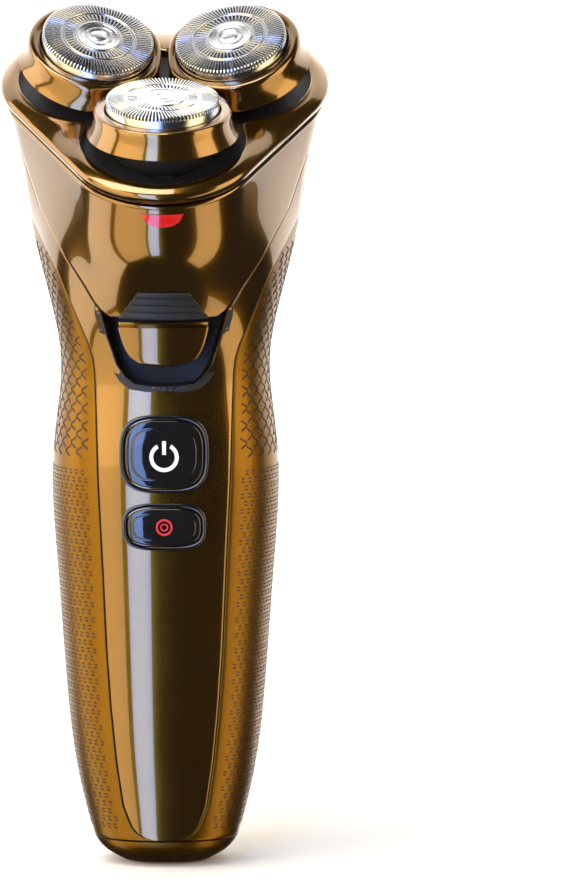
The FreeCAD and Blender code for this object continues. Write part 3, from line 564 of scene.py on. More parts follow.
class EffectLibrary:
    """Builds each shared node group on first use and hands out the same one afterwards."""

    def __init__(self) -> None:
        self.groups: dict[Effect, bpy.types.NodeTree] = {}

    def get(self, effect: Effect) -> bpy.types.NodeTree:
        """Returns the node group for an effect."""
        if effect not in self.groups:
            tree = bpy.data.node_groups.new(effect.value, "ShaderNodeTree")
            getattr(self, "_" + effect.value)(tree)
            self.groups[effect] = tree
        return self.groups[effect]

    @staticmethod
    def _socket(tree: bpy.types.NodeTree, name: str, kind: str, inwards: bool, value: float = 0.0) -> None:
        flow = "INPUT" if inwards else "OUTPUT"
        socket = tree.interface.new_socket(name=name, in_out=flow, socket_type=kind)
        if inwards and kind == "NodeSocketFloat":
            socket.default_value = value

    @staticmethod
    def _coords(tree: bpy.types.NodeTree) -> bpy.types.NodeSocket:
        return tree.nodes.new("ShaderNodeTexCoord").outputs["Object"]

    def _edge_wear(self, tree: bpy.types.NodeTree) -> None:
        self._socket(tree, "Amount", "NodeSocketFloat", True, 0.5)
        self._socket(tree, "Mask", "NodeSocketFloat", False)
        nodes, links = tree.nodes, tree.links
        inlet = nodes.new("NodeGroupInput")
        outlet = nodes.new("NodeGroupOutput")
        geometry = nodes.new("ShaderNodeNewGeometry")
        ramp = nodes.new("ShaderNodeMapRange")
        ramp.inputs["From Min"].default_value = 0.52
        ramp.inputs["From Max"].default_value = 0.60
        noise = nodes.new("ShaderNodeTexNoise")
        noise.inputs["Scale"].default_value = 900.0
        mix = nodes.new("ShaderNodeMath")
        mix.operation = "MULTIPLY"
        scale = nodes.new("ShaderNodeMath")
        scale.operation = "MULTIPLY"
        links.new(self._coords(tree), noise.inputs["Vector"])
        links.new(geometry.outputs["Pointiness"], ramp.inputs["Value"])
        links.new(ramp.outputs["Result"], mix.inputs[0])
        links.new(noise.outputs["Fac"], mix.inputs[1])
        links.new(mix.outputs[0], scale.inputs[0])
        links.new(inlet.outputs["Amount"], scale.inputs[1])
        links.new(scale.outputs[0], outlet.inputs["Mask"])

    def _fine_grain(self, tree: bpy.types.NodeTree) -> None:
        self._socket(tree, "Scale", "NodeSocketFloat", True, 6000.0)
        self._socket(tree, "Depth", "NodeSocketFloat", True, 0.1)
        self._socket(tree, "Height", "NodeSocketFloat", False)
        self._socket(tree, "Normal", "NodeSocketVector", False)
        nodes, links = tree.nodes, tree.links
        inlet = nodes.new("NodeGroupInput")
        outlet = nodes.new("NodeGroupOutput")
        noise = nodes.new("ShaderNodeTexNoise")
        noise.inputs["Detail"].default_value = 3.0
        bump = nodes.new("ShaderNodeBump")
        bump.inputs["Distance"].default_value = 0.00008
        links.new(self._coords(tree), noise.inputs["Vector"])
        links.new(inlet.outputs["Scale"], noise.inputs["Scale"])
        links.new(inlet.outputs["Depth"], bump.inputs["Strength"])
        links.new(noise.outputs["Fac"], bump.inputs["Height"])
        links.new(noise.outputs["Fac"], outlet.inputs["Height"])
        links.new(bump.outputs["Normal"], outlet.inputs["Normal"])

    def _smudge(self, tree: bpy.types.NodeTree) -> None:
        self._socket(tree, "Low", "NodeSocketFloat", True, 0.1)
        self._socket(tree, "High", "NodeSocketFloat", True, 0.2)
        self._socket(tree, "Value", "NodeSocketFloat", False)
        nodes, links = tree.nodes, tree.links
        inlet = nodes.new("NodeGroupInput")
        outlet = nodes.new("NodeGroupOutput")
        noise = nodes.new("ShaderNodeTexNoise")
        noise.inputs["Scale"].default_value = 110.0
        noise.inputs["Detail"].default_value = 5.0
        ramp = nodes.new("ShaderNodeMapRange")
        ramp.inputs["From Min"].default_value = 0.35
        ramp.inputs["From Max"].default_value = 0.7
        links.new(self._coords(tree), noise.inputs["Vector"])
        links.new(noise.outputs["Fac"], ramp.inputs["Value"])
        links.new(inlet.outputs["Low"], ramp.inputs["To Min"])
        links.new(inlet.outputs["High"], ramp.inputs["To Max"])
        links.new(ramp.outputs["Result"], outlet.inputs["Value"])

    def _ring_brush(self, tree: bpy.types.NodeTree) -> None:
        self._socket(tree, "Scale", "NodeSocketFloat", True, 1500.0)
        self._socket(tree, "Strength", "NodeSocketFloat", True, 0.1)
        self._socket(tree, "Value", "NodeSocketFloat", False)
        self._socket(tree, "Normal", "NodeSocketVector", False)
        nodes, links = tree.nodes, tree.links
        inlet = nodes.new("NodeGroupInput")
        outlet = nodes.new("NodeGroupOutput")
        squeeze = nodes.new("ShaderNodeMapping")
        squeeze.inputs["Scale"].default_value = (1.0, 1.0, 14.0)
        noise = nodes.new("ShaderNodeTexNoise")
        noise.inputs["Detail"].default_value = 2.0
        bump = nodes.new("ShaderNodeBump")
        bump.inputs["Distance"].default_value = 0.00004
        links.new(self._coords(tree), squeeze.inputs["Vector"])
        links.new(squeeze.outputs["Vector"], noise.inputs["Vector"])
        links.new(inlet.outputs["Scale"], noise.inputs["Scale"])
        links.new(inlet.outputs["Strength"], bump.inputs["Strength"])
        links.new(noise.outputs["Fac"], bump.inputs["Height"])
        links.new(noise.outputs["Fac"], outlet.inputs["Value"])
        links.new(bump.outputs["Normal"], outlet.inputs["Normal"])

    def _flake(self, tree: bpy.types.NodeTree) -> None:
        self._socket(tree, "Base", "NodeSocketColor", True)
        self._socket(tree, "Spread", "NodeSocketFloat", True, 0.1)
        self._socket(tree, "Color", "NodeSocketColor", False)
        nodes, links = tree.nodes, tree.links
        inlet = nodes.new("NodeGroupInput")
        outlet = nodes.new("NodeGroupOutput")
        cells = nodes.new("ShaderNodeTexVoronoi")
        cells.inputs["Scale"].default_value = 9000.0
        ramp = nodes.new("ShaderNodeMapRange")
        ramp.inputs["To Min"].default_value = -1.0
        ramp.inputs["To Max"].default_value = 1.0
        scale = nodes.new("ShaderNodeMath")
        scale.operation = "MULTIPLY_ADD"
        scale.inputs[2].default_value = 1.0
        tint = nodes.new("ShaderNodeHueSaturation")
        links.new(self._coords(tree), cells.inputs["Vector"])
        links.new(cells.outputs["Distance"], ramp.inputs["Value"])
        links.new(ramp.outputs["Result"], scale.inputs[0])
        links.new(inlet.outputs["Spread"], scale.inputs[1])
        links.new(scale.outputs[0], tint.inputs["Value"])
        links.new(inlet.outputs["Base"], tint.inputs["Color"])
        links.new(tint.outputs["Color"], outlet.inputs["Color"])


@dataclass(frozen=True)
class Finish:
    """One surface finish, from which a procedural material is made."""

    name: str
    color: tuple[float, float, float]
    metallic: float = 0.0
    rough: tuple[float, float] = (0.3, 0.4)
    coat: float = 0.0
    coat_rough: float = 0.05
    coat_ior: float = 1.5
    grain: float = 0.0
    grain_scale: float = 6000.0
    brush: float = 0.0
    flake: float = 0.0
    wear: float = 0.25
    worn: tuple[float, float, float] = (0.6, 0.58, 0.55)


class Paint(Enum):
    """Every finish on the shaver, named after the record's material slots where one fits."""

    GLOSS_GOLD = Finish("gloss_gold", (0.235, 0.112, 0.008), 0.95, (0.16, 0.20), 1.0, 0.02, coat_ior=1.75,
                        flake=0.10, wear=0.03)
    SHELL_GOLD = Finish("shell_gold", (0.225, 0.106, 0.007), 0.95, (0.30, 0.36), 0.15, 0.2, grain=0.2,
                        grain_scale=9000.0, flake=0.15, wear=0.05)
    # Painted shade: this dark gold stands in for the shade inside the grip's moulded notches; the real grip
    # is the shell's satin gold.
    NOTCH_GOLD = Finish("notch_gold", (0.045, 0.020, 0.003), 0.6, (0.38, 0.46), 0.0, 0.2, flake=0.1, wear=0.1)
    BLACK_GLOSS = Finish("black_gloss", (0.008, 0.008, 0.009), 0.0, (0.06, 0.12), 0.8, 0.02, wear=0.05,
                         worn=(0.1, 0.1, 0.1))
    BLACK_MATTE = Finish("black_matte", (0.016, 0.015, 0.015), 0.0, (0.42, 0.55), grain=0.3, wear=0.1,
                         worn=(0.08, 0.08, 0.08))
    GREY_PLASTIC = Finish("grey_plastic", (0.20, 0.20, 0.21), 0.0, (0.4, 0.5), grain=0.2, wear=0.1)
    WHITE_PLASTIC = Finish("white_plastic", (0.72, 0.72, 0.69), 0.0, (0.38, 0.48), grain=0.15, wear=0.1)
    STEEL = Finish("steel", (0.66, 0.66, 0.67), 1.0, (0.14, 0.22), brush=0.25, wear=0.1, worn=(0.8, 0.8, 0.8))
    BRUSHED = Finish("brushed", (0.52, 0.52, 0.53), 1.0, (0.28, 0.38), brush=0.5, wear=0.1)
    SILVER_TRIM = Finish("silver_trim", (0.74, 0.74, 0.76), 1.0, (0.20, 0.28), brush=0.3, wear=0.1)
    RED_GLOSS = Finish("red_gloss", (0.58, 0.008, 0.008), 0.0, (0.08, 0.14), 0.8, 0.03, wear=0.05)
    SYMBOL_WHITE = Finish("symbol_white", (0.86, 0.86, 0.86), 0.0, (0.3, 0.4), wear=0.0)
    SYMBOL_RED = Finish("symbol_red", (0.65, 0.02, 0.02), 0.0, (0.3, 0.4), wear=0.0)
    RUBBER = Finish("rubber", (0.02, 0.02, 0.02), 0.0, (0.6, 0.7), grain=0.4, wear=0.0)
    BATTERY_WRAP = Finish("battery_wrap", (0.04, 0.14, 0.28), 0.0, (0.25, 0.35), 0.3, wear=0.1)
    BOARD_GREEN = Finish("board_green", (0.015, 0.14, 0.06), 0.0, (0.25, 0.35), 0.3, wear=0.1)
    COPPER = Finish("copper", (0.60, 0.26, 0.12), 1.0, (0.22, 0.32), brush=0.4, wear=0.1)
    BRASS = Finish("brass", (0.62, 0.45, 0.17), 1.0, (0.22, 0.32), brush=0.3, wear=0.1)


class MaterialShop:
    """Makes each finish's material once."""

    def __init__(self, effects: EffectLibrary) -> None:
        """Args:
            effects: the shared node groups.
        """
        self.effects = effects
        self.made: dict[Paint, bpy.types.Material] = {}

    def get(self, paint: Paint) -> bpy.types.Material:
        """Returns the material for a finish."""
        if paint not in self.made:
            self.made[paint] = self._make(paint.value)
        return self.made[paint]

    def coat(self, obj: bpy.types.Object, paint: Paint) -> bpy.types.Object:
        """Gives an object one finish all over, as its only material slot."""
        obj.data.materials.clear()
        obj.data.materials.append(self.get(paint))
        return obj

    def _group(self, tree: bpy.types.NodeTree, effect: Effect) -> bpy.types.Node:
        node = tree.nodes.new("ShaderNodeGroup")
        node.node_tree = self.effects.get(effect)
        return node

    def _make(self, finish: Finish) -> bpy.types.Material:
        material = bpy.data.materials.new(finish.name)
        material.use_nodes = True
        tree = material.node_tree
        shader = tree.nodes["Principled BSDF"]
        shader.inputs["Metallic"].default_value = finish.metallic
        shader.inputs["Coat Weight"].default_value = finish.coat
        shader.inputs["Coat Roughness"].default_value = finish.coat_rough
        shader.inputs["Coat IOR"].default_value = finish.coat_ior
        base = (*finish.color, 1.0)
        color_out = None
        if finish.flake > 0:
            flake = self._group(tree, Effect.FLAKE)
            flake.inputs["Base"].default_value = base
            flake.inputs["Spread"].default_value = finish.flake
            color_out = flake.outputs["Color"]
        mix = tree.nodes.new("ShaderNodeMix")
        mix.data_type = "RGBA"
        wear = self._group(tree, Effect.EDGE_WEAR)
        wear.inputs["Amount"].default_value = finish.wear
        tree.links.new(wear.outputs["Mask"], mix.inputs["Factor"])
        mix.inputs["A"].default_value = base
        mix.inputs["B"].default_value = (*finish.worn, 1.0)
        if color_out is not None:
            tree.links.new(color_out, mix.inputs["A"])
        tree.links.new(mix.outputs["Result"], shader.inputs["Base Color"])
        smudge = self._group(tree, Effect.SMUDGE)
        smudge.inputs["Low"].default_value = finish.rough[0]
        smudge.inputs["High"].default_value = finish.rough[1]
        tree.links.new(smudge.outputs["Value"], shader.inputs["Roughness"])
        if finish.grain > 0:
            grain = self._group(tree, Effect.FINE_GRAIN)
            grain.inputs["Scale"].default_value = finish.grain_scale
            grain.inputs["Depth"].default_value = finish.grain
            tree.links.new(grain.outputs["Normal"], shader.inputs["Normal"])
        elif finish.brush > 0:
            brush = self._group(tree, Effect.RING_BRUSH)
            brush.inputs["Strength"].default_value = finish.brush
            tree.links.new(brush.outputs["Normal"], shader.inputs["Normal"])
        return material


# --------------------------------------------------------------------------------------
# The body skins: rear shell, front panel and neck
# --------------------------------------------------------------------------------------

FRONT = -math.pi / 2
REAR = math.pi / 2


@dataclass
class SkinSizes:
    """Fineness and gaps of the three skins, in millimetres unless said otherwise."""

    seam: float = 0.14
    columns: int = 40
    rows: int = 190
    sunk: float = 0.12
    arm_top: float = 0.946
    panel_low: float = 0.0352
    rear_low: float = 0.862
    neck_low_z: float = 106.9


class SkinSplit:
    """Finds where the pieces of the skin meet on each section, for the right-hand half."""

    def __init__(self, sizes: SkinSizes) -> None:
        """Args:
            sizes: gaps and fineness.
        """
        self.sizes = sizes
        self.finder = SkinPatch(Side.RIGHT)
        well = polyline(LINES.well)
        shoulder = polyline(LINES.shoulder)
        low_well = LINES.well[0][1] * BODY.length
        high_well = LINES.well[-1][1] * BODY.length
        low_shoulder = LINES.shoulder[0][1] * BODY.length

        def inner(z: float) -> float:
            if z < low_well:
                return -1.0
            reach = well(z) if z < high_well else 0.0
            return max(reach, shoulder(z) if z > low_shoulder else 0.0)

        self.inner_line = inner
        self.panel_line = polyline(LINES.panel)
        self.rear_line = polyline(LINES.rear_shoulder)
        self.shoulder_line = shoulder

    def step(self, share: float, shift: float = 0.0) -> float:
        """Returns the direction where a section crosses the step between front and rear."""
        low, high = FRONT, REAR
        for _ in range(26):
            mid = (low + high) / 2
            if SKIN.point(share, mid).y > BODY.shoulder_step + shift:
                high = mid
            else:
                low = mid
        return (low + high) / 2

    def _turned(self, share: float, phi: float, distance: float) -> float:
        p, q = SKIN.point(share, phi), SKIN.point(share, phi + 0.01)
        return phi + distance * 0.01 / max((q - p).length, 1e-4)

    def panel_start(self, share: float) -> float:
        """Returns the panel's inner edge: the recess, then the shoulder line."""
        gap = self.sizes.seam + SkinPatch.ROLL
        z = SKIN.point(share, FRONT).z
        if z < LINES.well[0][1] * BODY.length:
            return FRONT
        at = self.finder.crossing(share, self.inner_line, FRONT, self.step(share))
        return min(self._turned(share, at, gap), self.panel_end(share))

    def panel_end(self, share: float) -> float:
        """Returns the panel's outer edge."""
        gap = self.sizes.seam + SkinPatch.ROLL
        at = self.finder.crossing(share, self.panel_line, FRONT, self.step(share))
        return max(self._turned(share, at, -gap), FRONT)

    def shell_start(self, share: float) -> float:
        """Returns the rear shell's front edge."""
        gap = self.sizes.seam + SkinPatch.ROLL
        at = self.finder.crossing(share, self.panel_line, FRONT, self.step(share))
        return self._turned(share, at, gap)

    def shell_end(self, share: float) -> float:
        """Returns the rear shell's rear edge: the middle of the back, or the rear shoulder."""
        if SKIN.point(share, REAR).z < LINES.rear_shoulder[0][1] * BODY.length:
            return REAR
        gap = self.sizes.seam + SkinPatch.ROLL
        at = self.finder.crossing(share, self.rear_line, REAR, self.step(share))
        return max(self._turned(share, at, -gap), self.shell_start(share))

    def neck_end(self, share: float) -> float:
        """Returns the neck's outer edge on the front half."""
        gap = self.sizes.seam + SkinPatch.ROLL
        at = self.finder.crossing(share, self.shoulder_line, FRONT, self.step(share))
        return max(self._turned(share, at, -gap), FRONT)

    def neck_rear(self, share: float) -> float:
        """Returns the neck's outer edge on the rear half."""
        gap = self.sizes.seam + SkinPatch.ROLL
        at = self.finder.crossing(share, self.rear_line, REAR, self.step(share))
        return min(self._turned(share, at, gap), REAR)


class Piece:
    """Common ground of every sub-assembly: it makes objects, paints them and seats them."""

    def __init__(self, shop: MaterialShop) -> None:
        """Args:
            shop: the materials.
        """
        self.shop = shop

    def seat(self, obj: bpy.types.Object, paint: Paint, body: str, *nodes: str) -> bpy.types.Object:
        """Paints an object, puts it on a CAD body and hides the CAD nodes it stands for.

        Args:
            obj: the object.
            paint: its finish.
            body: the CAD body it rides on.
            nodes: the CAD nodes it replaces.

        Returns:
            The same object.
        """
        self.shop.coat(obj, paint)
        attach(obj, body)
        if nodes:
            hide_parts(*nodes)
        return obj


def rise(low: float, high: float, count: int) -> list[float]:
    """Returns count shares from low to high."""
    return [lerp(low, high, t) for t in spread(count)]


class RearShell(Piece):
    """The satin grip shell, from the foot round the back and up both sides."""

    def __init__(self, shop: MaterialShop, split: SkinSplit) -> None:
        super().__init__(shop)
        self.split = split
        self.sizes = split.sizes

    def build(self) -> None:
        """Makes the shell."""
        builder = MeshBuilder("rear_shell_skin")
        s = self.sizes
        sunk = -s.sunk
        for side in Side:
            patch = SkinPatch(side)
            split = self.split
            low = [0.0, 0.002, 0.005, 0.009, 0.014, 0.02, 0.026, s.panel_low - 0.003]
            patch.surface(builder, low, lambda v: FRONT, lambda v: REAR, 2 * s.columns,
                          (False, False, False, False), sunk)
            body = rise(s.panel_low - 0.0005, s.rear_low, s.rows)
            patch.surface(builder, body, split.shell_start, split.shell_end, 2 * s.columns,
                          (False, False, True, False), sunk)
            arm = rise(s.rear_low + 0.0005, s.arm_top, 40)
            patch.surface(builder, arm, split.shell_start, split.shell_end, s.columns,
                          (False, True, True, True), sunk)
            turns = [lerp(FRONT, REAR, t) for t in spread(2 * s.columns)]
            foot = [[patch.flip(SKIN.point(0.0, turn, sunk - depth)) for turn in turns]
                    for depth in (0.0, 3.0)]
            builder.grid(foot)
        self.seat(builder.build(), Paint.SHELL_GOLD, "handle", "rear_shell")


@dataclass
class GripSizes:
    """The moulded grip texture, in millimetres."""

    proud: float = 0.10
    chevron_pitch: float = 3.4
    chevron_columns: float = 3.1
    chevron_low: float = 80.5
    chevron_high: float = 121.0
    chevron_half: float = 1.15
    chevron_bar: float = 0.42
    dash_pitch: float = 3.0
    dash_columns: float = 1.55
    dash_low: float = 7.6
    dash_high: float = 77.8
    dash_half: float = 0.42
    dash_tall: float = 0.17
    margin: float = 2.4
    rear_limit: float = math.radians(70)


class GripTexture(Piece):
    """Chevrons beside the waist and paired dashes below, raised a tenth of a millimetre and coloured dark
    gold as painted shade of the notches.
    """

    def __init__(self, shop: MaterialShop, split: SkinSplit, sizes: GripSizes) -> None:
        super().__init__(shop)
        self.split = split
        self.sizes = sizes

    def _on_skin(self, side: Side, share: float, phi: float, across: float, up: float, out: float) -> Vector:
        """Returns a point near an anchor on the skin, moved along and off it in millimetres."""
        a, b = SKIN.point(share, phi), SKIN.point(share, phi + 0.01)
        turn = phi + across * 0.01 / max((b - a).length, 1e-4)
        p = SKIN.point(share + up / BODY.length, turn, out)
        return Vector((p.x * side.value, p.y, p.z))

    def _bump(self, builder: MeshBuilder, side: Side, share: float, phi: float,
              outline: Sequence[tuple[float, float]]) -> None:
        """Adds one raised shape whose outline is in millimetres round the anchor."""
        low = -self.split.sizes.sunk - 0.05
        high = -self.split.sizes.sunk + self.sizes.proud
        start = len(builder.points)
        count = len(outline)
        mid_x = sum(p[0] for p in outline) / count
        mid_y = sum(p[1] for p in outline) / count
        for shrink, out in ((1.0, low), (0.72, high)):
            for x, y in outline:
                across, up = lerp(mid_x, x, shrink), lerp(mid_y, y, shrink)
                builder.points.append(self._on_skin(side, share, phi, across, up, out))
        builder.faces.append(tuple(range(start + count, start + 2 * count)))
        for j in range(count):
            k = (j + 1) % count
            builder.faces.append((start + j, start + k, start + count + k, start + count + j))

    def _anchors(self, z: float, columns: float, offset: float) -> Iterable[tuple[float, float]]:
        share = z / BODY.length
        phi = self.split.shell_start(share)
        phi = self.split._turned(share, phi, self.sizes.margin + offset)
        while phi < self.sizes.rear_limit:
            yield share, phi
            phi = self.split._turned(share, phi, columns)

    def build(self) -> None:
        """Makes both textures on both sides."""
        s = self.sizes
        chevrons = MeshBuilder("grip_chevrons")
        dashes = MeshBuilder("grip_dashes")
        for side in Side:
            row = 0
            z = s.chevron_low
            while z < s.chevron_high:
                offset = 0.0 if row % 2 else s.chevron_columns / 2
                for share, phi in self._anchors(z, s.chevron_columns, offset):
                    h, b = s.chevron_half, s.chevron_bar
                    near, far, reach = h * 0.15, h + 0.1, h * 0.75
                    lower = [(-reach, -far), (-reach, b - far), (reach, -near + b), (reach, -near - b / 2)]
                    upper = [(-reach, far - b), (-reach, far), (reach, near + b / 2), (reach, near - b)]
                    self._bump(chevrons, side, share, phi, lower)
                    self._bump(chevrons, side, share, phi, upper)
                z += s.chevron_pitch / 2
                row += 1
            row = 0
            z = s.dash_low
            while z < s.dash_high:
                offset = 0.0 if row % 2 else s.dash_columns / 2
                for share, phi in self._anchors(z, s.dash_columns, offset):
                    for up in (-0.32, 0.32):
                        w, t = s.dash_half, s.dash_tall
                        box = [(-w, up - t), (w, up - t), (w, up + t), (-w, up + t)]
                        self._bump(dashes, side, share, phi, box)
                z += s.dash_pitch / 2
                row += 1
        # The dark notch gold on chevrons and dashes is painted shade, not the grip's own colour.
        self.seat(chevrons.build(sharp=20, merge=0), Paint.NOTCH_GOLD, "handle")
        self.seat(dashes.build(sharp=20, merge=0), Paint.NOTCH_GOLD, "handle")


class FrontPanel(Piece):
    """The gloss front panel: a long blade with an arm up each side of the neck."""

    def __init__(self, shop: MaterialShop, split: SkinSplit) -> None:
        super().__init__(shop)
        self.split = split

    def build(self) -> None:
        """Makes the panel."""
        builder = MeshBuilder("front_panel_skin")
        s = self.split.sizes
        split = self.split
        well = LINES.well[0][1] - 0.002
        for side in Side:
            patch = SkinPatch(side)
            tip = [s.panel_low + 0.0001 * k * k for k in range(13)]
            lower = tip + rise(tip[-1] + 0.002, well, s.rows)
            patch.surface(builder, lower, lambda v: FRONT, split.panel_end, s.columns,
                          (True, False, False, True), 0.0)
            upper = rise(well, s.arm_top, s.rows)
            patch.surface(builder, upper, split.panel_start, split.panel_end, s.columns,
                          (False, True, True, True), 0.0)
        self.seat(builder.build(), Paint.GLOSS_GOLD, "handle", "front_panel")


@dataclass
class NeckSizes:
    """The neck's base and hinge, in millimetres."""

    motor_hole: float = 8.95
    columns: int = 90
    hinge_radius: float = 1.48
    knuckle_from: float = 3.65
    knuckle_to: float = 8.15
    arm_back: float = 2.4


class NeckHousing(Piece):
    """The flared gloss neck below the hair chamber."""

    def __init__(self, shop: MaterialShop, split: SkinSplit, sizes: NeckSizes) -> None:
        super().__init__(shop)
        self.split = split
        self.sizes = sizes

    def _lowest(self) -> float:
        low, high = 0.70, 0.80
        for _ in range(30):
            mid = (low + high) / 2
            if SKIN.point(mid, FRONT).z > self.split.sizes.neck_low_z:
                high = mid
            else:
                low = mid
        return high

    def _outline(self, share: float, phis: tuple[float, float], shares: list[float],
                 edge: Callable[[float], float]) -> list[Vector]:
        """Returns the bottom edge of one half: its flat run, then its rise."""
        flat = [SKIN.point(share, lerp(phis[0], phis[1], t), -0.3) for t in spread(self.sizes.columns)]
        return flat + [SKIN.point(v, edge(v), -0.3) for v in shares]

    @staticmethod
    def _height(line: Sequence[Vector], x: float) -> float:
        """Returns the height of a rising line at one distance from the middle."""
        for p, q in zip(line, line[1:]):
            if q.x >= x:
                return lerp(p.z, q.z, (x - p.x) / max(q.x - p.x, 1e-6)) if q.x > p.x else q.z
        return line[-1].z

    def _hole(self, x: float, centre: float, slope: float, low: float, high: float) -> tuple[float, float]:
        """Returns where a straight run crosses the motor's hole, held between low and high."""
        half = math.sqrt(max(self.sizes.motor_hole ** 2 - x * x, 0.0)) / slope
        first, last = max(low, min(high, centre - half)), max(low, min(high, centre + half))
        return first, last

    def _floor(self, builder: MeshBuilder, line: Sequence[Vector], side: Side) -> None:
        """Adds the floor that runs from the bottom edge to the step, round the motor's hole."""
        step = BODY.shoulder_step
        near, far = [], []
        for p in line:
            centre = HEAD.origin.y - (p.z - HEAD.origin.z) * math.tan(HEAD.tilt)
            low, high = min(p.y, step), max(p.y, step)
            first, last = self._hole(p.x, centre, math.cos(HEAD.tilt), low, high)
            x = p.x * side.value
            near.append([Vector((x, lerp(low, first, t), p.z)) for t in spread(8)])
            far.append([Vector((x, lerp(last, high, t), p.z)) for t in spread(8)])
        builder.grid(near)
        builder.grid(far)

    def _step(self, builder: MeshBuilder, front: Sequence[Vector], rear: Sequence[Vector],
              side: Side) -> None:
        """Adds the upright wall between the front floor and the rear floor."""
        step = BODY.shoulder_step
        below, above = [], []
        widest = min(max(p.x for p in front), max(p.x for p in rear))
        for t in spread(80):
            x = widest * t
            z0, z1 = self._height(front, x), self._height(rear, x)
            centre = HEAD.origin.z - (step - HEAD.origin.y) / math.tan(HEAD.tilt)
            first, last = self._hole(x, centre, math.sin(HEAD.tilt), z0, z1)
            turned = x * side.value
            below.append([Vector((turned, step, lerp(z0, first, u))) for u in spread(5)])
            above.append([Vector((turned, step, lerp(last, z1, u))) for u in spread(5)])
        builder.grid(below)
        builder.grid(above)

    def _hinge(self, builder: MeshBuilder, side: Side) -> None:
        """Adds one outer knuckle of the rear hinge with its arm."""
        s = self.sizes
        y, z = BODY.cap_circle / 2 + 17.9 + 0.9, -BODY.bowl_level
        rings = []
        near, far, r = s.knuckle_from, s.knuckle_to, s.hinge_radius
        section = ((near, 0.72), (near, r - 0.15), (near + 0.15, r),
                   (far - 0.15, r), (far, r - 0.15), (far, 0.72))
        for x, radius in section:
            rings.append([HEAD.at(x * side.value, y + radius * math.cos(a), z + radius * math.sin(a))
                          for a in ring_steps(40)])
        builder.grid(rings, loop=True)
        corners = [HEAD.at(x * side.value, y - s.arm_back, z - 1.4) for x in (near, far)]
        corners += [HEAD.at(x * side.value, y, z - 1.4) for x in (far, near)]
        builder.solid(corners, HEAD.at(0, 0, 1.25) - HEAD.at(0, 0, 0))

    def build(self) -> None:
        """Makes the neck's skin, its floor and its hinge knuckles."""
        builder = MeshBuilder("neck_skin")
        s = self.split.sizes
        split = self.split
        top = 0.9955
        lowest = self._lowest()
        at_front = split.neck_end(s.arm_top)
        at_rear = split.neck_rear(s.arm_top)
        front_rise = rise(lowest, s.arm_top, s.rows)
        rear_rise = rise(s.rear_low + 0.004, s.arm_top, 50)
        front_line = self._outline(lowest, (FRONT, split.neck_end(lowest)), front_rise, split.neck_end)
        rear_low = rear_rise[0]
        rear_line = self._outline(rear_low, (REAR, split.neck_rear(rear_low)), rear_rise, split.neck_rear)
        for side in Side:
            patch = SkinPatch(side)
            patch.surface(builder, front_rise, lambda v: FRONT, split.neck_end,
                          s.columns, (True, False, False, True), 0.0)
            patch.surface(builder, rise(s.arm_top, top, 50), lambda v: FRONT, lambda v: at_front, s.columns,
                          (False, True, False, False), 0.0)
            patch.surface(builder, rise(s.arm_top, top, 50), lambda v: at_front, lambda v: at_rear, s.columns,
                          (True, True, False, False), 0.0)
            patch.surface(builder, rise(s.arm_top, top, 50), lambda v: at_rear, lambda v: REAR, s.columns,
                          (False, True, False, False), 0.0)
            patch.surface(builder, rear_rise, split.neck_rear, lambda v: REAR,
                          s.columns, (True, False, True, False), 0.0)
            self._floor(builder, front_line, side)
            self._floor(builder, rear_line, side)
            self._step(builder, front_line, rear_line, side)
            self._hinge(builder, side)
        self.seat(builder.build(), Paint.GLOSS_GOLD, "neck", "neck_housing")


# --------------------------------------------------------------------------------------
# Hair chamber bowl
# --------------------------------------------------------------------------------------


@dataclass
class BowlSizes:
    """The hair chamber's section, in millimetres below the cap plane."""

    low: float = -12.5
    bulge: float = -10.9
    lip: float = -9.3
    corner: float = 17.9
    steps: int = 216


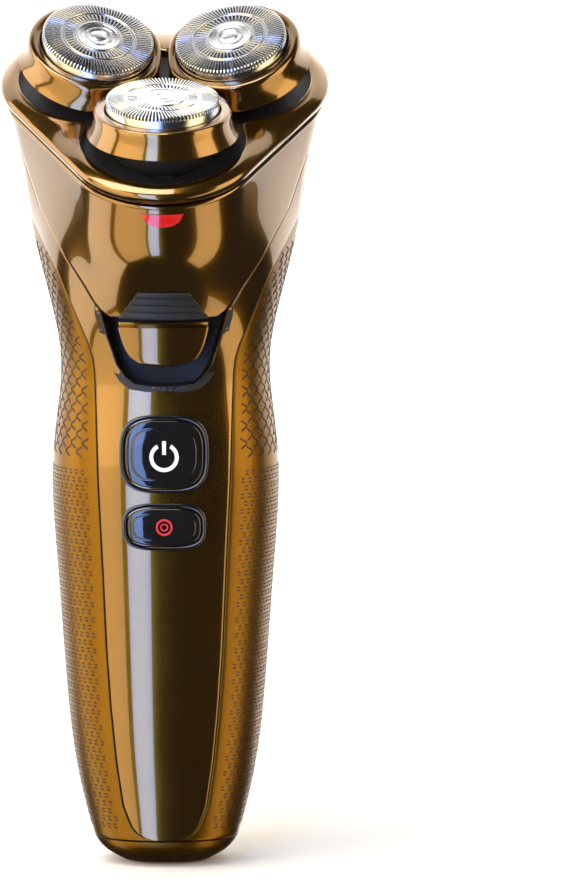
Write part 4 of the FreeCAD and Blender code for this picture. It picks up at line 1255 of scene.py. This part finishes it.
class HairChamber(Piece):
    """The gloss ring round the lobes, with its trefoil lip."""

    def __init__(self, shop: MaterialShop, sizes: BowlSizes) -> None:
        super().__init__(shop)
        self.sizes = sizes

    def _ring(self, radius: float, level: float, blend: float) -> list[Vector]:
        points = []
        for phi in ring_steps(self.sizes.steps):
            flat = triangle_reach(phi, BODY.cap_circle, radius)
            lobed = trefoil_reach(phi, BODY.cap_circle, radius)
            r = lerp(flat, lobed, blend)
            points.append(HEAD.at(r * math.cos(phi), r * math.sin(phi), level))
        return points

    def build(self) -> None:
        """Makes the bowl."""
        s = self.sizes
        c = s.corner
        section = [
            (c - 1.8, s.low, 0.0), (c - 0.2, s.low, 0.0), (c + 0.05, s.low + 0.08, 0.0),
            (c + 0.25, s.low + 0.4, 0.0), (c + 0.62, s.low + 0.9, 0.02), (c + 0.9, s.bulge, 0.06),
            (c + 1.0, s.bulge + 0.4, 0.14), (c + 0.8, s.bulge + 0.75, 0.30), (c + 0.3, s.bulge + 1.08, 0.50),
            (c - 0.25, s.lip - 0.30, 0.68), (c - 0.62, s.lip - 0.14, 0.80), (c - 1.0, s.lip - 0.05, 0.90),
            (c - 1.3, s.lip, 0.96), (c - 2.15, s.lip, 0.98), (c - 2.4, s.lip - 0.08, 1.0),
            (c - 2.5, s.lip - 0.3, 1.0), (c - 2.5, s.low + 0.9, 1.0),
        ]
        builder = MeshBuilder("hair_chamber_ring")
        builder.grid([self._ring(*row) for row in section], loop=True)
        self._hinge(builder)
        self.seat(builder.build(sharp=55), Paint.GLOSS_GOLD, "chamber", "hair_chamber")

    def _hinge(self, builder: MeshBuilder) -> None:
        """Adds the middle knuckle of the rear hinge and its arm."""
        y, z, radius, half = BODY.cap_circle / 2 + 17.9 + 0.9, -BODY.bowl_level, 1.48, 3.38
        rings = []
        for x, r in ((-half, 0.75), (-half, radius - 0.15), (-half + 0.15, radius), (half - 0.15, radius),
                     (half, radius - 0.15), (half, 0.75)):
            rings.append([HEAD.at(x, y + r * math.cos(a), z + r * math.sin(a)) for a in ring_steps(40)])
        builder.grid(rings, loop=True)
        corners = [HEAD.at(x, y - 4.0, z + 0.55) for x in (-half, half)]
        corners += [HEAD.at(x, y - 0.6, z + 0.55) for x in (half, -half)]
        builder.solid(corners, HEAD.at(0, 0, 0.8) - HEAD.at(0, 0, 0))


class NeckRim(Piece):
    """The bright lip at the top of the neck."""

    def build(self) -> None:
        """Makes the rim."""
        c, low = BODY.bowl_corner, -BODY.bowl_level - 1.0
        rows = []
        for inset, level in ((1.9, low + 0.05), (0.1, low + 0.05), (0.0, low + 0.15), (-0.08, low + 0.45),
                             (-0.05, low + 0.8), (0.12, low + 0.97), (0.3, low + 1.0), (1.9, low + 1.0)):
            ring = []
            for phi in ring_steps(216):
                r = triangle_reach(phi, BODY.cap_circle, c - inset)
                ring.append(HEAD.at(r * math.cos(phi), r * math.sin(phi), level))
            rows.append(ring)
        builder = MeshBuilder("neck_rim_ring")
        builder.grid(rows, loop=True)
        self.seat(builder.build(sharp=50), Paint.GLOSS_GOLD, "neck", "neck_rim")


# --------------------------------------------------------------------------------------
# Lobes, caps and medallions
# --------------------------------------------------------------------------------------


@dataclass
class LobeSizes:
    """One lobe and its cap in the cap's own frame, in millimetres."""

    top: float = 2.3
    rim: float = 13.0
    skirt: float = 7.4
    skirt_rim: float = 14.3
    hole: float = 11.0
    seam: float = 0.45
    dish: float = 11.2
    steps: int = 180


class Station:
    """Geometry shared by everything at one cutter station."""

    def __init__(self, place: Place, sizes: LobeSizes) -> None:
        """Args:
            place: which station.
            sizes: the lobe's sizes.
        """
        self.place = place
        self.sizes = sizes
        self.matrix = HEAD.station(place, sizes.dish)

    def at(self, x: float, y: float, z: float) -> Vector:
        """Returns a point of the cap's frame in the row frame."""
        return self.matrix @ Vector((x, y, z))

    def ring(self, radius: float, z: float, steps: int = 0) -> list[Vector]:
        """Returns a circle about the cap's axis."""
        count = steps or self.sizes.steps
        return [self.at(radius * math.cos(a), radius * math.sin(a), z) for a in ring_steps(count)]

    def _side_limit(self, angle: float, z: float, inset: float) -> float:
        """Returns how far a direction reaches before the seam between two lobes."""
        limit = 99.0
        dish = math.radians(self.sizes.dish)
        base = BODY.cap_circle - z * math.sin(dish)
        for sign in (-1, 1):
            normal_x, normal_y = -math.sin(math.radians(60)), sign * math.cos(math.radians(60))
            room = normal_x * base + self.sizes.seam + inset
            pull = normal_x * math.cos(angle) * math.cos(dish) + normal_y * math.sin(angle)
            if pull > 1e-6:
                limit = min(limit, -room / pull)
        return limit

    def petal(self, radius: float, z: float, inset: float = 0.0) -> list[Vector]:
        """Returns the lobe's outline at one level: a circle cut softly by the two seams."""
        points = []
        for a in ring_steps(self.sizes.steps):
            side = self._side_limit(a, z, inset)
            sharp = 22.0
            r = (radius ** -sharp + side ** -sharp) ** (-1 / sharp)
            points.append(self.at(r * math.cos(a), r * math.sin(a), z))
        return points


class Lobe(Piece):
    """One pivoting gloss lobe that frames a cutter cap."""

    def __init__(self, shop: MaterialShop, station: Station) -> None:
        super().__init__(shop)
        self.station = station

    def build(self) -> None:
        """Makes the lobe."""
        st, s = self.station, self.station.sizes
        rows = [
            st.ring(s.hole + 0.15, -s.top - 1.15), st.ring(s.hole, -s.top - 1.0),
            st.ring(s.hole, -s.top - 0.18), st.ring(s.hole + 0.05, -s.top - 0.05),
            st.ring(s.hole + 0.18, -s.top),
            st.petal(s.rim - 0.75, -s.top, 0.40), st.petal(s.rim - 0.45, -s.top - 0.02, 0.18),
            st.petal(s.rim - 0.18, -s.top - 0.14, 0.06), st.petal(s.rim, -s.top - 0.36, 0.0),
            st.petal(s.rim + 0.12, -s.top - 1.0), st.petal(s.rim + 0.35, -s.top - 2.2),
            st.petal(s.rim + 0.70, -s.top - 3.8), st.petal(s.skirt_rim - 0.25, -s.skirt + 0.7),
            st.petal(s.skirt_rim - 0.08, -s.skirt + 0.30), st.petal(s.skirt_rim, -s.skirt + 0.14),
            st.petal(s.skirt_rim - 0.12, -s.skirt), st.petal(s.skirt_rim - 1.1, -s.skirt, 0.3),
            st.petal(s.skirt_rim - 1.2, -s.skirt + 0.8, 0.4),
        ]
        word = st.place.word
        builder = MeshBuilder("lobe_shell_skin_" + word)
        builder.grid(rows, loop=True)
        self.seat(builder.build(sharp=50), Paint.GLOSS_GOLD, "lobe_" + word, "lobe_shell_" + word)


@dataclass
class CapSizes:
    """The slotted cutter cap, in millimetres."""

    radius: float = 10.7
    thick: float = 0.5
    rim_low: float = -3.5
    medallion: float = 4.5
    inner_slots: int = 52
    outer_slots: int = 96
    inner_band: tuple[float, float] = (4.85, 6.55)
    groove: tuple[float, float] = (6.75, 7.15)
    outer_band: tuple[float, float] = (7.35, 10.35)
    slant: float = 10.0
    fill: float = 0.55


class CutterCap(Piece):
    """One polished cap with two rings of real slots and a plain ringed medallion."""

    def __init__(self, shop: MaterialShop, station: Station, sizes: CapSizes) -> None:
        super().__init__(shop)
        self.station = station
        self.sizes = sizes

    def _bars(self, builder: MeshBuilder, band: tuple[float, float], count: int, over: bool) -> None:
        """Adds the bars between the slots of one ring; over carries them down the rim."""
        st, s = self.station, self.sizes
        step = 2 * math.pi / count
        half = step * s.fill / 2
        slant = math.radians(s.slant)
        low, high = band
        for i in range(count):
            mid = i * step
            if over:
                path = [(low, 0.0), (high - 0.3, 0.0), (high, -0.04), (high + 0.22, -0.16), (s.radius, -0.45),
                        (s.radius, -0.95)]
            else:
                path = [(low, 0.0), ((low + high) / 2, 0.015), (high, 0.0)]
            rows = []
            for r, z in path:
                share = (min(r, high) - low) / (high - low)
                lean = mid + slant * (share - 0.5) * (high - low) / r
                wide = half * (low + high) / 2 / r if r > (low + high) / 2 else half
                left, right = lean - wide, lean + wide
                drop = s.thick
                corners = []
                for angle, depth in ((left, drop), (left, 0.06), (left + wide * 0.25, 0.0),
                                     (right - wide * 0.25, 0.0), (right, 0.06), (right, drop)):
                    rr = r - depth if z < -0.3 else r
                    zz = z if z < -0.3 else z - depth
                    corners.append(st.at(rr * math.cos(angle), rr * math.sin(angle), zz))
                rows.append(corners)
            builder.grid(rows)

    def build(self) -> None:
        """Makes the cap, the medallion and the drilled look of the rings."""
        st, s = self.station, self.sizes
        word = st.place.word
        builder = MeshBuilder("cutter_cap_skin_" + word)
        self._bars(builder, (s.inner_band[0] - 0.05, s.inner_band[1] + 0.05), s.inner_slots, False)
        self._bars(builder, (s.outer_band[0] - 0.05, s.outer_band[1]), s.outer_slots, True)
        hub = [(s.medallion - 0.05, -0.5), (s.medallion, -0.06), (s.medallion + 0.06, 0.0),
               (s.inner_band[0] - 0.04, 0.0), (s.inner_band[0], -0.05), (s.inner_band[0], -s.thick)]
        mid = [(s.inner_band[1], -s.thick), (s.inner_band[1], -0.05), (s.inner_band[1] + 0.05, 0.0),
               (s.groove[0] - 0.05, 0.0), (s.groove[0], -0.05), (s.groove[0] + 0.06, -0.22),
               (s.groove[1] - 0.06, -0.22), (s.groove[1], -0.05), (s.groove[1] + 0.05, 0.0),
               (s.outer_band[0] - 0.05, 0.0), (s.outer_band[0], -0.05), (s.outer_band[0], -s.thick)]
        rim = [(s.radius - 0.45, -0.9), (s.radius - 0.05, -0.9), (s.radius, -0.96), (s.radius, s.rim_low),
               (s.radius - 0.5, s.rim_low)]
        for profile in (hub, mid, rim):
            builder.grid([st.ring(r, z) for r, z in profile], loop=True)
        self.seat(builder.build(sharp=40, merge=0), Paint.STEEL, "cap_" + word, "cutter_cap_" + word)
        self._medallion(word)

    def _medallion(self, word: str) -> None:
        st, r = self.station, self.sizes.medallion
        profile = [(r - 0.02, -0.45), (r - 0.02, 0.08), (r - 0.1, 0.18), (r - 0.28, 0.2), (r - 0.6, 0.2),
                   (r - 0.72, 0.12), (r - 0.85, 0.08), (r - 1.55, 0.12), (r - 1.65, 0.06), (r - 1.8, 0.06),
                   (r - 1.9, 0.14), (r - 2.7, 0.18), (r - 2.8, 0.12), (r - 2.95, 0.12), (r - 3.05, 0.19),
                   (0.35, 0.22)]
        builder = MeshBuilder("medallion_skin_" + word)
        rows = [st.ring(max(rr, 0.05), z, 96) for rr, z in profile]
        builder.grid(rows, loop=True)
        builder.fan(rows[-1], st.at(0, 0, 0.22))
        self.seat(builder.build(sharp=35), Paint.SILVER_TRIM, "cap_" + word, "medallion_" + word)


# --------------------------------------------------------------------------------------
# Pieces on the front: ribs, release pad, buttons
# --------------------------------------------------------------------------------------


def front_point(x: float, z: float, out: float = 0.0) -> Vector:
    """Returns the point of the front skin seen at x and z, in millimetres."""
    share = z / BODY.length
    point = Vector((x, 0.0, z))
    for _ in range(8):
        low, high = FRONT, 0.0
        for _ in range(22):
            mid = (low + high) / 2
            if SKIN.point(share, mid).x > abs(x):
                high = mid
            else:
                low = mid
        point = SKIN.point(share, low, out)
        share += (z - point.z) / BODY.length
    return Vector((math.copysign(point.x, x) if x else 0.0, point.y, point.z))


@dataclass
class FrontSizes:
    """The ribs, pad and buttons, in millimetres."""

    rib_low: float = 106.9
    rib_high: float = 112.3
    rib_half_low: float = 8.9
    rib_half_high: float = 4.95
    ribs: int = 4
    pad_low: float = 97.2
    pad_high: float = 106.0
    pad_bulge: float = 0.75


class ThumbRibs(Piece):
    """The dark stepped thumb rest above the release pad."""

    def __init__(self, shop: MaterialShop, sizes: FrontSizes) -> None:
        super().__init__(shop)
        self.sizes = sizes

    def build(self) -> None:
        """Makes the ribs as steps that each stand out at their lower edge."""
        s = self.sizes
        rows = []
        pitch = (s.rib_high - s.rib_low) / s.ribs
        profile = ((0.0, 0.12), (0.03, 0.62), (0.12, 0.72), (0.3, 0.68), (0.7, 0.42), (0.94, 0.16))
        for i in range(s.ribs):
            for share, out in profile:
                z = s.rib_low + (i + share) * pitch
                level = (z - s.rib_low) / (s.rib_high - s.rib_low)
                half = lerp(s.rib_half_low, s.rib_half_high, level)
                row = []
                for t in spread(41):
                    x = lerp(-half, half, t)
                    edge = min(1.0, (1 - abs(2 * t - 1)) * 14)
                    sag = -0.35 * (1 - (2 * t - 1) ** 2) * (1 - level)
                    row.append(front_point(x, z + sag, out * edge - (1 - edge) * 0.5))
                rows.append(row)
        builder = MeshBuilder("thumb_rib_steps")
        builder.grid(rows)
        behind = [[p + Vector((0, 0.8, 0)) for p in rows[0]], rows[0]]
        builder.grid(behind)
        self.seat(builder.build(sharp=35, merge=0), Paint.BLACK_MATTE, "neck", "thumb_ribs")


class ReleasePad(Piece):
    """The gloss pad that unlatches the neck."""

    OUTLINE: tuple[tuple[float, float], ...] = (
        (0.0, 0.0), (2.8, 0.02), (5.2, 0.10), (6.7, 0.22), (7.6, 0.40), (8.3, 0.62), (8.8, 0.82), (9.25, 1.0),
    )

    def __init__(self, shop: MaterialShop, sizes: FrontSizes) -> None:
        super().__init__(shop)
        self.sizes = sizes

    def _half(self, level: float) -> float:
        rows = self.OUTLINE
        for i in range(len(rows) - 1):
            if level <= rows[i + 1][1]:
                t = (level - rows[i][1]) / (rows[i + 1][1] - rows[i][1])
                return lerp(rows[i][0], rows[i + 1][0], math.sqrt(t) if i == 0 else t)
        return rows[-1][0]

    def build(self) -> None:
        """Makes the pad as a domed face with rolled edges."""
        s = self.sizes
        rows = []
        levels = [0.0, 0.004, 0.012, 0.03, 0.06, 0.1, 0.15, 0.22, 0.3, 0.4, 0.5, 0.6, 0.7, 0.8, 0.88, 0.905,
                  0.92, 0.95, 0.98, 1.0]
        for level in levels:
            z = lerp(s.pad_low, s.pad_high, level)
            half = max(self._half(level), 0.4)
            row = []
            for t in spread(61):
                across = 2 * t - 1
                edge = min(1 - abs(across), 0.06) / 0.06
                rim = min(level, 0.05) / 0.05
                ledge = 0.0 if level < 0.9 else 0.55
                fall = 2 - math.sqrt(max(edge * (2 - edge), 0)) - math.sqrt(max(rim * (2 - rim), 0))
                swell = math.sin(math.pi * min(level, 0.9) / 1.25 + 0.35)
                dome = s.pad_bulge * (1 - 0.5 * across ** 2) * swell
                row.append(front_point(half * across, z, dome - ledge - min(fall, 1.0) * 1.6))
            rows.append(row)
        builder = MeshBuilder("release_pad_face")
        builder.grid(rows)
        self.seat(builder.build(sharp=42, merge=0), Paint.GLOSS_GOLD, "pad", "release_pad")


@dataclass
class ButtonSizes:
    """One front button with its bezel and symbol, in millimetres."""

    height: float
    half_x: float
    half_z: float
    face_x: float
    face_z: float
    corner: float = 3.2


class Button(Piece):
    """A bevelled gloss button with a raised face, in a bezel ring."""

    STEPS: int = 120

    def __init__(self, shop: MaterialShop, word: str, body: str, sizes: ButtonSizes) -> None:
        """Args:
            shop: the materials.
            word: the button's name in the CAD nodes.
            body: the CAD body it rides on.
            sizes: its sizes.
        """
        super().__init__(shop)
        self.word = word
        self.body = body
        self.sizes = sizes
        self.face = -BODY.half_depth

    def _ring(self, half_x: float, half_z: float, out: float) -> list[Vector]:
        s = self.sizes
        ring = []
        for phi in ring_steps(self.STEPS):
            r = oval_reach(phi, half_x, half_z, half_z, s.corner)
            ring.append(Vector((r * math.cos(phi), self.face - out, s.height + r * math.sin(phi))))
        return ring

    def build(self) -> None:
        """Makes the bezel and the button."""
        s = self.sizes
        x, z = s.half_x, s.half_z
        bezel = MeshBuilder(self.word + "_bezel_ring")
        bezel.grid([self._ring(x + g, z + g, out) for g, out in (
            (1.0, -2.2), (1.0, 0.30), (0.92, 0.45), (0.80, 0.53), (0.55, 0.54), (0.38, 0.46), (0.27, 0.30),
            (0.25, -2.6))], loop=True)
        floor = self._ring(x + 0.25, z + 0.25, -2.6)
        bezel.fan(floor, Vector((0, self.face + 2.6, s.height)))
        self.seat(bezel.build(sharp=45), Paint.BLACK_GLOSS, "handle", self.word + "_bezel")
        button = MeshBuilder(self.word + "_button_cap")
        profile = [(x, z, -1.4), (x, z, 0.30), (x - 0.10, z - 0.10, 0.48), (x - 0.32, z - 0.32, 0.58),
                   (s.face_x + 0.35, s.face_z + 0.35, 0.66), (s.face_x + 0.1, s.face_z + 0.1, 0.70),
                   (s.face_x, s.face_z, 0.80), (s.face_x - 0.2, s.face_z - 0.2, 0.87),
                   (s.face_x * 0.6, s.face_z * 0.6, 0.89)]
        rows = [self._ring(*row) for row in profile]
        button.grid(rows, loop=True)
        button.fan(rows[-1], Vector((0, self.face - 0.9, s.height)))
        self.seat(button.build(sharp=45), Paint.BLACK_GLOSS, self.body, self.word + "_button")


class Symbols(Piece):
    """The printed marks on the two buttons."""

    def _arc(self, builder: MeshBuilder, height: float, outer: float, inner: float, gap: float) -> None:
        """Adds a flat ring, open at the top by gap radians each side."""
        face = -BODY.half_depth - 0.90
        rows = []
        for t in spread(73):
            a = math.pi / 2 + gap + t * (2 * math.pi - 2 * gap)
            rows.append([
                Vector((outer * math.cos(a), face, height + outer * math.sin(a))),
                Vector((outer * math.cos(a), face - 0.10, height + outer * math.sin(a))),
                Vector((inner * math.cos(a), face - 0.10, height + inner * math.sin(a))),
                Vector((inner * math.cos(a), face, height + inner * math.sin(a))),
            ])
        builder.grid(rows)

    def build(self) -> None:
        """Makes the power mark and the ring mark."""
        power = MeshBuilder("power_mark")
        height = BODY.length * 0.558 - 0.5
        self._arc(power, height, 2.8, 2.05, 0.52)
        face = -BODY.half_depth - 0.90
        corners = ((-0.36, 0.5), (0.36, 0.5), (0.36, 3.1), (-0.36, 3.1))
        bar = [Vector((x, face, height + z)) for x, z in corners]
        power.solid(bar, Vector((0, -0.10, 0)))
        self.seat(power.build(merge=0), Paint.SYMBOL_WHITE, "power_key", "power_symbol")
        mode = MeshBuilder("mode_mark")
        self._arc(mode, BODY.length * 0.4615, 1.6, 1.22, 0.0)
        self._arc(mode, BODY.length * 0.4615, 0.75, 0.50, 0.0)
        self.seat(mode.build(merge=0), Paint.SYMBOL_RED, "mode_key", "mode_symbol")


# --------------------------------------------------------------------------------------
# Stage, camera and the whole
# --------------------------------------------------------------------------------------


@dataclass(frozen=True)
class Card:
    """One upright glowing card; azimuth 0 is in front, rising to the right. Metres and degrees."""

    name: str
    azimuth: float
    distance: float
    width: float
    height: float
    middle: float
    color: tuple[float, float, float]
    glow: float


@dataclass
class StageSizes:
    """Light, floor and camera, in metres and degrees."""

    elevation: float = 7.0
    distance: float = 1.41
    lens: float = 300.0
    aim: Point = (0.0246, 0.0, 0.0813)
    world: float = 0.03
    top_power: float = 9.0


class Stage:
    """The plain pale floor, the soft studio light and the camera."""

    def __init__(self, sizes: StageSizes) -> None:
        """Args:
            sizes: the stage's sizes.
        """
        self.sizes = sizes

    CARDS: tuple[Card, ...] = (
        Card("backdrop", 180.0, 0.9, 4.0, 3.0, 1.2, (1.0, 1.0, 1.0), 1.0),
        Card("strip_left", -15.0, 1.15, 0.33, 3.2, -0.45, (0.30, 0.47, 1.0), 5.6),
        Card("fill_left", -50.0, 1.15, 0.95, 3.2, -0.40, (1.0, 0.82, 0.45), 1.35),
        Card("edge_left", -95.0, 1.00, 0.60, 3.0, -0.20, (1.0, 0.90, 0.7), 1.5),
        Card("edge_right", 68.0, 1.00, 0.60, 3.2, -0.40, (1.0, 0.82, 0.45), 1.2),
    )

    @staticmethod
    def _plain(name: str, color: tuple[float, float, float], glow: float) -> bpy.types.Material:
        """Returns an even matt material, which glows if glow isn't 0."""
        material = bpy.data.materials.new(name)
        material.use_nodes = True
        shader = material.node_tree.nodes["Principled BSDF"]
        shader.inputs["Base Color"].default_value = (*color, 1.0)
        shader.inputs["Roughness"].default_value = 0.9
        shader.inputs["Specular IOR Level"].default_value = 0.0
        if glow:
            shader.inputs["Emission Color"].default_value = (*color, 1.0)
            shader.inputs["Emission Strength"].default_value = glow
        return material

    @staticmethod
    def _see_through(material: bpy.types.Material, source: bpy.types.NodeSocket) -> bpy.types.Material:
        """Makes a material clear wherever the source is 1."""
        tree = material.node_tree
        clear = tree.nodes.new("ShaderNodeBsdfTransparent")
        mix = tree.nodes.new("ShaderNodeMixShader")
        tree.links.new(source, mix.inputs["Fac"])
        tree.links.new(tree.nodes["Principled BSDF"].outputs["BSDF"], mix.inputs[1])
        tree.links.new(clear.outputs["BSDF"], mix.inputs[2])
        tree.links.new(mix.outputs["Shader"], tree.nodes["Material Output"].inputs["Surface"])
        return material

    def _floor_material(self) -> bpy.types.Material:
        """Returns the pale floor, which gloss surfaces see through to the cards below."""
        material = self._plain("floor", (0.95, 0.95, 0.95), 0.0)
        path = material.node_tree.nodes.new("ShaderNodeLightPath")
        return self._see_through(material, path.outputs["Is Glossy Ray"])

    def _card_material(self, card: Card) -> bpy.types.Material:
        """Returns a glowing card: the backdrop shows its face, the others light without being seen."""
        material = self._plain(card.name, card.color, card.glow)
        nodes = material.node_tree.nodes
        if card.name == "backdrop":
            return self._see_through(material, nodes.new("ShaderNodeNewGeometry").outputs["Backfacing"])
        return self._see_through(material, nodes.new("ShaderNodeLightPath").outputs["Is Camera Ray"])

    def _card(self, card: Card) -> None:
        """Stands a card upright, facing the shaver."""
        mesh = bpy.data.meshes.new(card.name)
        w, h = card.width / 2, card.height / 2
        mesh.from_pydata([(-w, 0, -h), (w, 0, -h), (w, 0, h), (-w, 0, h)], [], [(0, 1, 2, 3)])
        made = bpy.data.objects.new(card.name, mesh)
        turn = math.radians(card.azimuth)
        made.location = (card.distance * math.sin(turn), -card.distance * math.cos(turn), card.middle)
        made.rotation_euler = (0, 0, turn + math.pi)
        mesh.materials.append(self._card_material(card))
        bpy.context.scene.collection.objects.link(made)

    def build(self) -> None:
        """Makes the stage and sets the scene's camera."""
        s = self.sizes
        scene = bpy.context.scene
        scene.view_settings.view_transform = "Standard"
        world = bpy.data.worlds.new("studio")
        world.use_nodes = True
        world.node_tree.nodes["Background"].inputs["Color"].default_value = (1, 1, 1, 1)
        world.node_tree.nodes["Background"].inputs["Strength"].default_value = s.world
        scene.world = world
        floor = bpy.data.meshes.new("floor")
        floor.from_pydata([(-4, -4, 0), (4, -4, 0), (4, 4, 0), (-4, 4, 0)], [], [(0, 1, 2, 3)])
        floor.materials.append(self._floor_material())
        ground = bpy.data.objects.new("floor", floor)
        ground.location = (0, 0, -0.0004)
        scene.collection.objects.link(ground)
        for card in self.CARDS:
            self._card(card)
        lamp = bpy.data.lights.new("softbox", "AREA")
        lamp.shape = "RECTANGLE"
        lamp.size, lamp.size_y = 0.9, 0.6
        lamp.energy = s.top_power
        box = bpy.data.objects.new("softbox", lamp)
        box.location = (-0.35, -0.35, 1.15)
        box.rotation_euler = (math.radians(18), math.radians(-18), 0)
        scene.collection.objects.link(box)
        data = bpy.data.cameras.new("camera")
        data.lens = s.lens
        data.clip_start = 0.01
        camera = bpy.data.objects.new("camera", data)
        tilt = math.radians(s.elevation)
        out = Vector((0, -math.cos(tilt), math.sin(tilt))) * s.distance
        camera.location = Vector(s.aim) + out
        camera.rotation_euler = (math.pi / 2 - tilt, 0, 0)
        scene.collection.objects.link(camera)
        scene.camera = camera


class Shaver:
    """The whole shaver: every sub-assembly, over the CAD frame."""

    def __init__(self, frame: dict) -> None:
        """Args:
        """
        self.frame = frame
        self.shop = MaterialShop(EffectLibrary())

    def paint_frame(self) -> None:
        """Gives every carried-over CAD node the finish of its material slot."""
        paints = {paint.value.name: paint for paint in Paint}
        slots = {row["node"]: row["material_slot"] for row in self.frame["record"]["subparts"]}
        for node, obj in self.frame["nodes"].items():
            paint = paints[slots[node]]
            obj.data.materials.clear()
            obj.data.materials.append(self.shop.get(paint))

    def build(self) -> None:
        """Makes everything."""
        self.paint_frame()
        split = SkinSplit(SkinSizes())
        front = FrontSizes()
        makers: list[Piece] = [
            RearShell(self.shop, split),
            GripTexture(self.shop, split, GripSizes()),
            FrontPanel(self.shop, split),
            NeckHousing(self.shop, split, NeckSizes()),
            HairChamber(self.shop, BowlSizes()),
            NeckRim(self.shop),
            ThumbRibs(self.shop, front),
            ReleasePad(self.shop, front),
            Button(self.shop, "power", "power_key", ButtonSizes(BODY.length * 0.558, 7.5, 6.5, 6.05, 4.95)),
            Button(self.shop, "mode", "mode_key", ButtonSizes(BODY.length * 0.4615, 7.0, 3.55, 5.9, 2.5)),
            Symbols(self.shop),
        ]
        for place in Place:
            station = Station(place, LobeSizes())
            makers.append(Lobe(self.shop, station))
            makers.append(CutterCap(self.shop, station, CapSizes()))
        for maker in makers:
            maker.build()


def main() -> None:
    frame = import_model()
    Shaver(frame).build()
    Stage(StageSizes()).build()


if __name__ == "__main__":
    main()
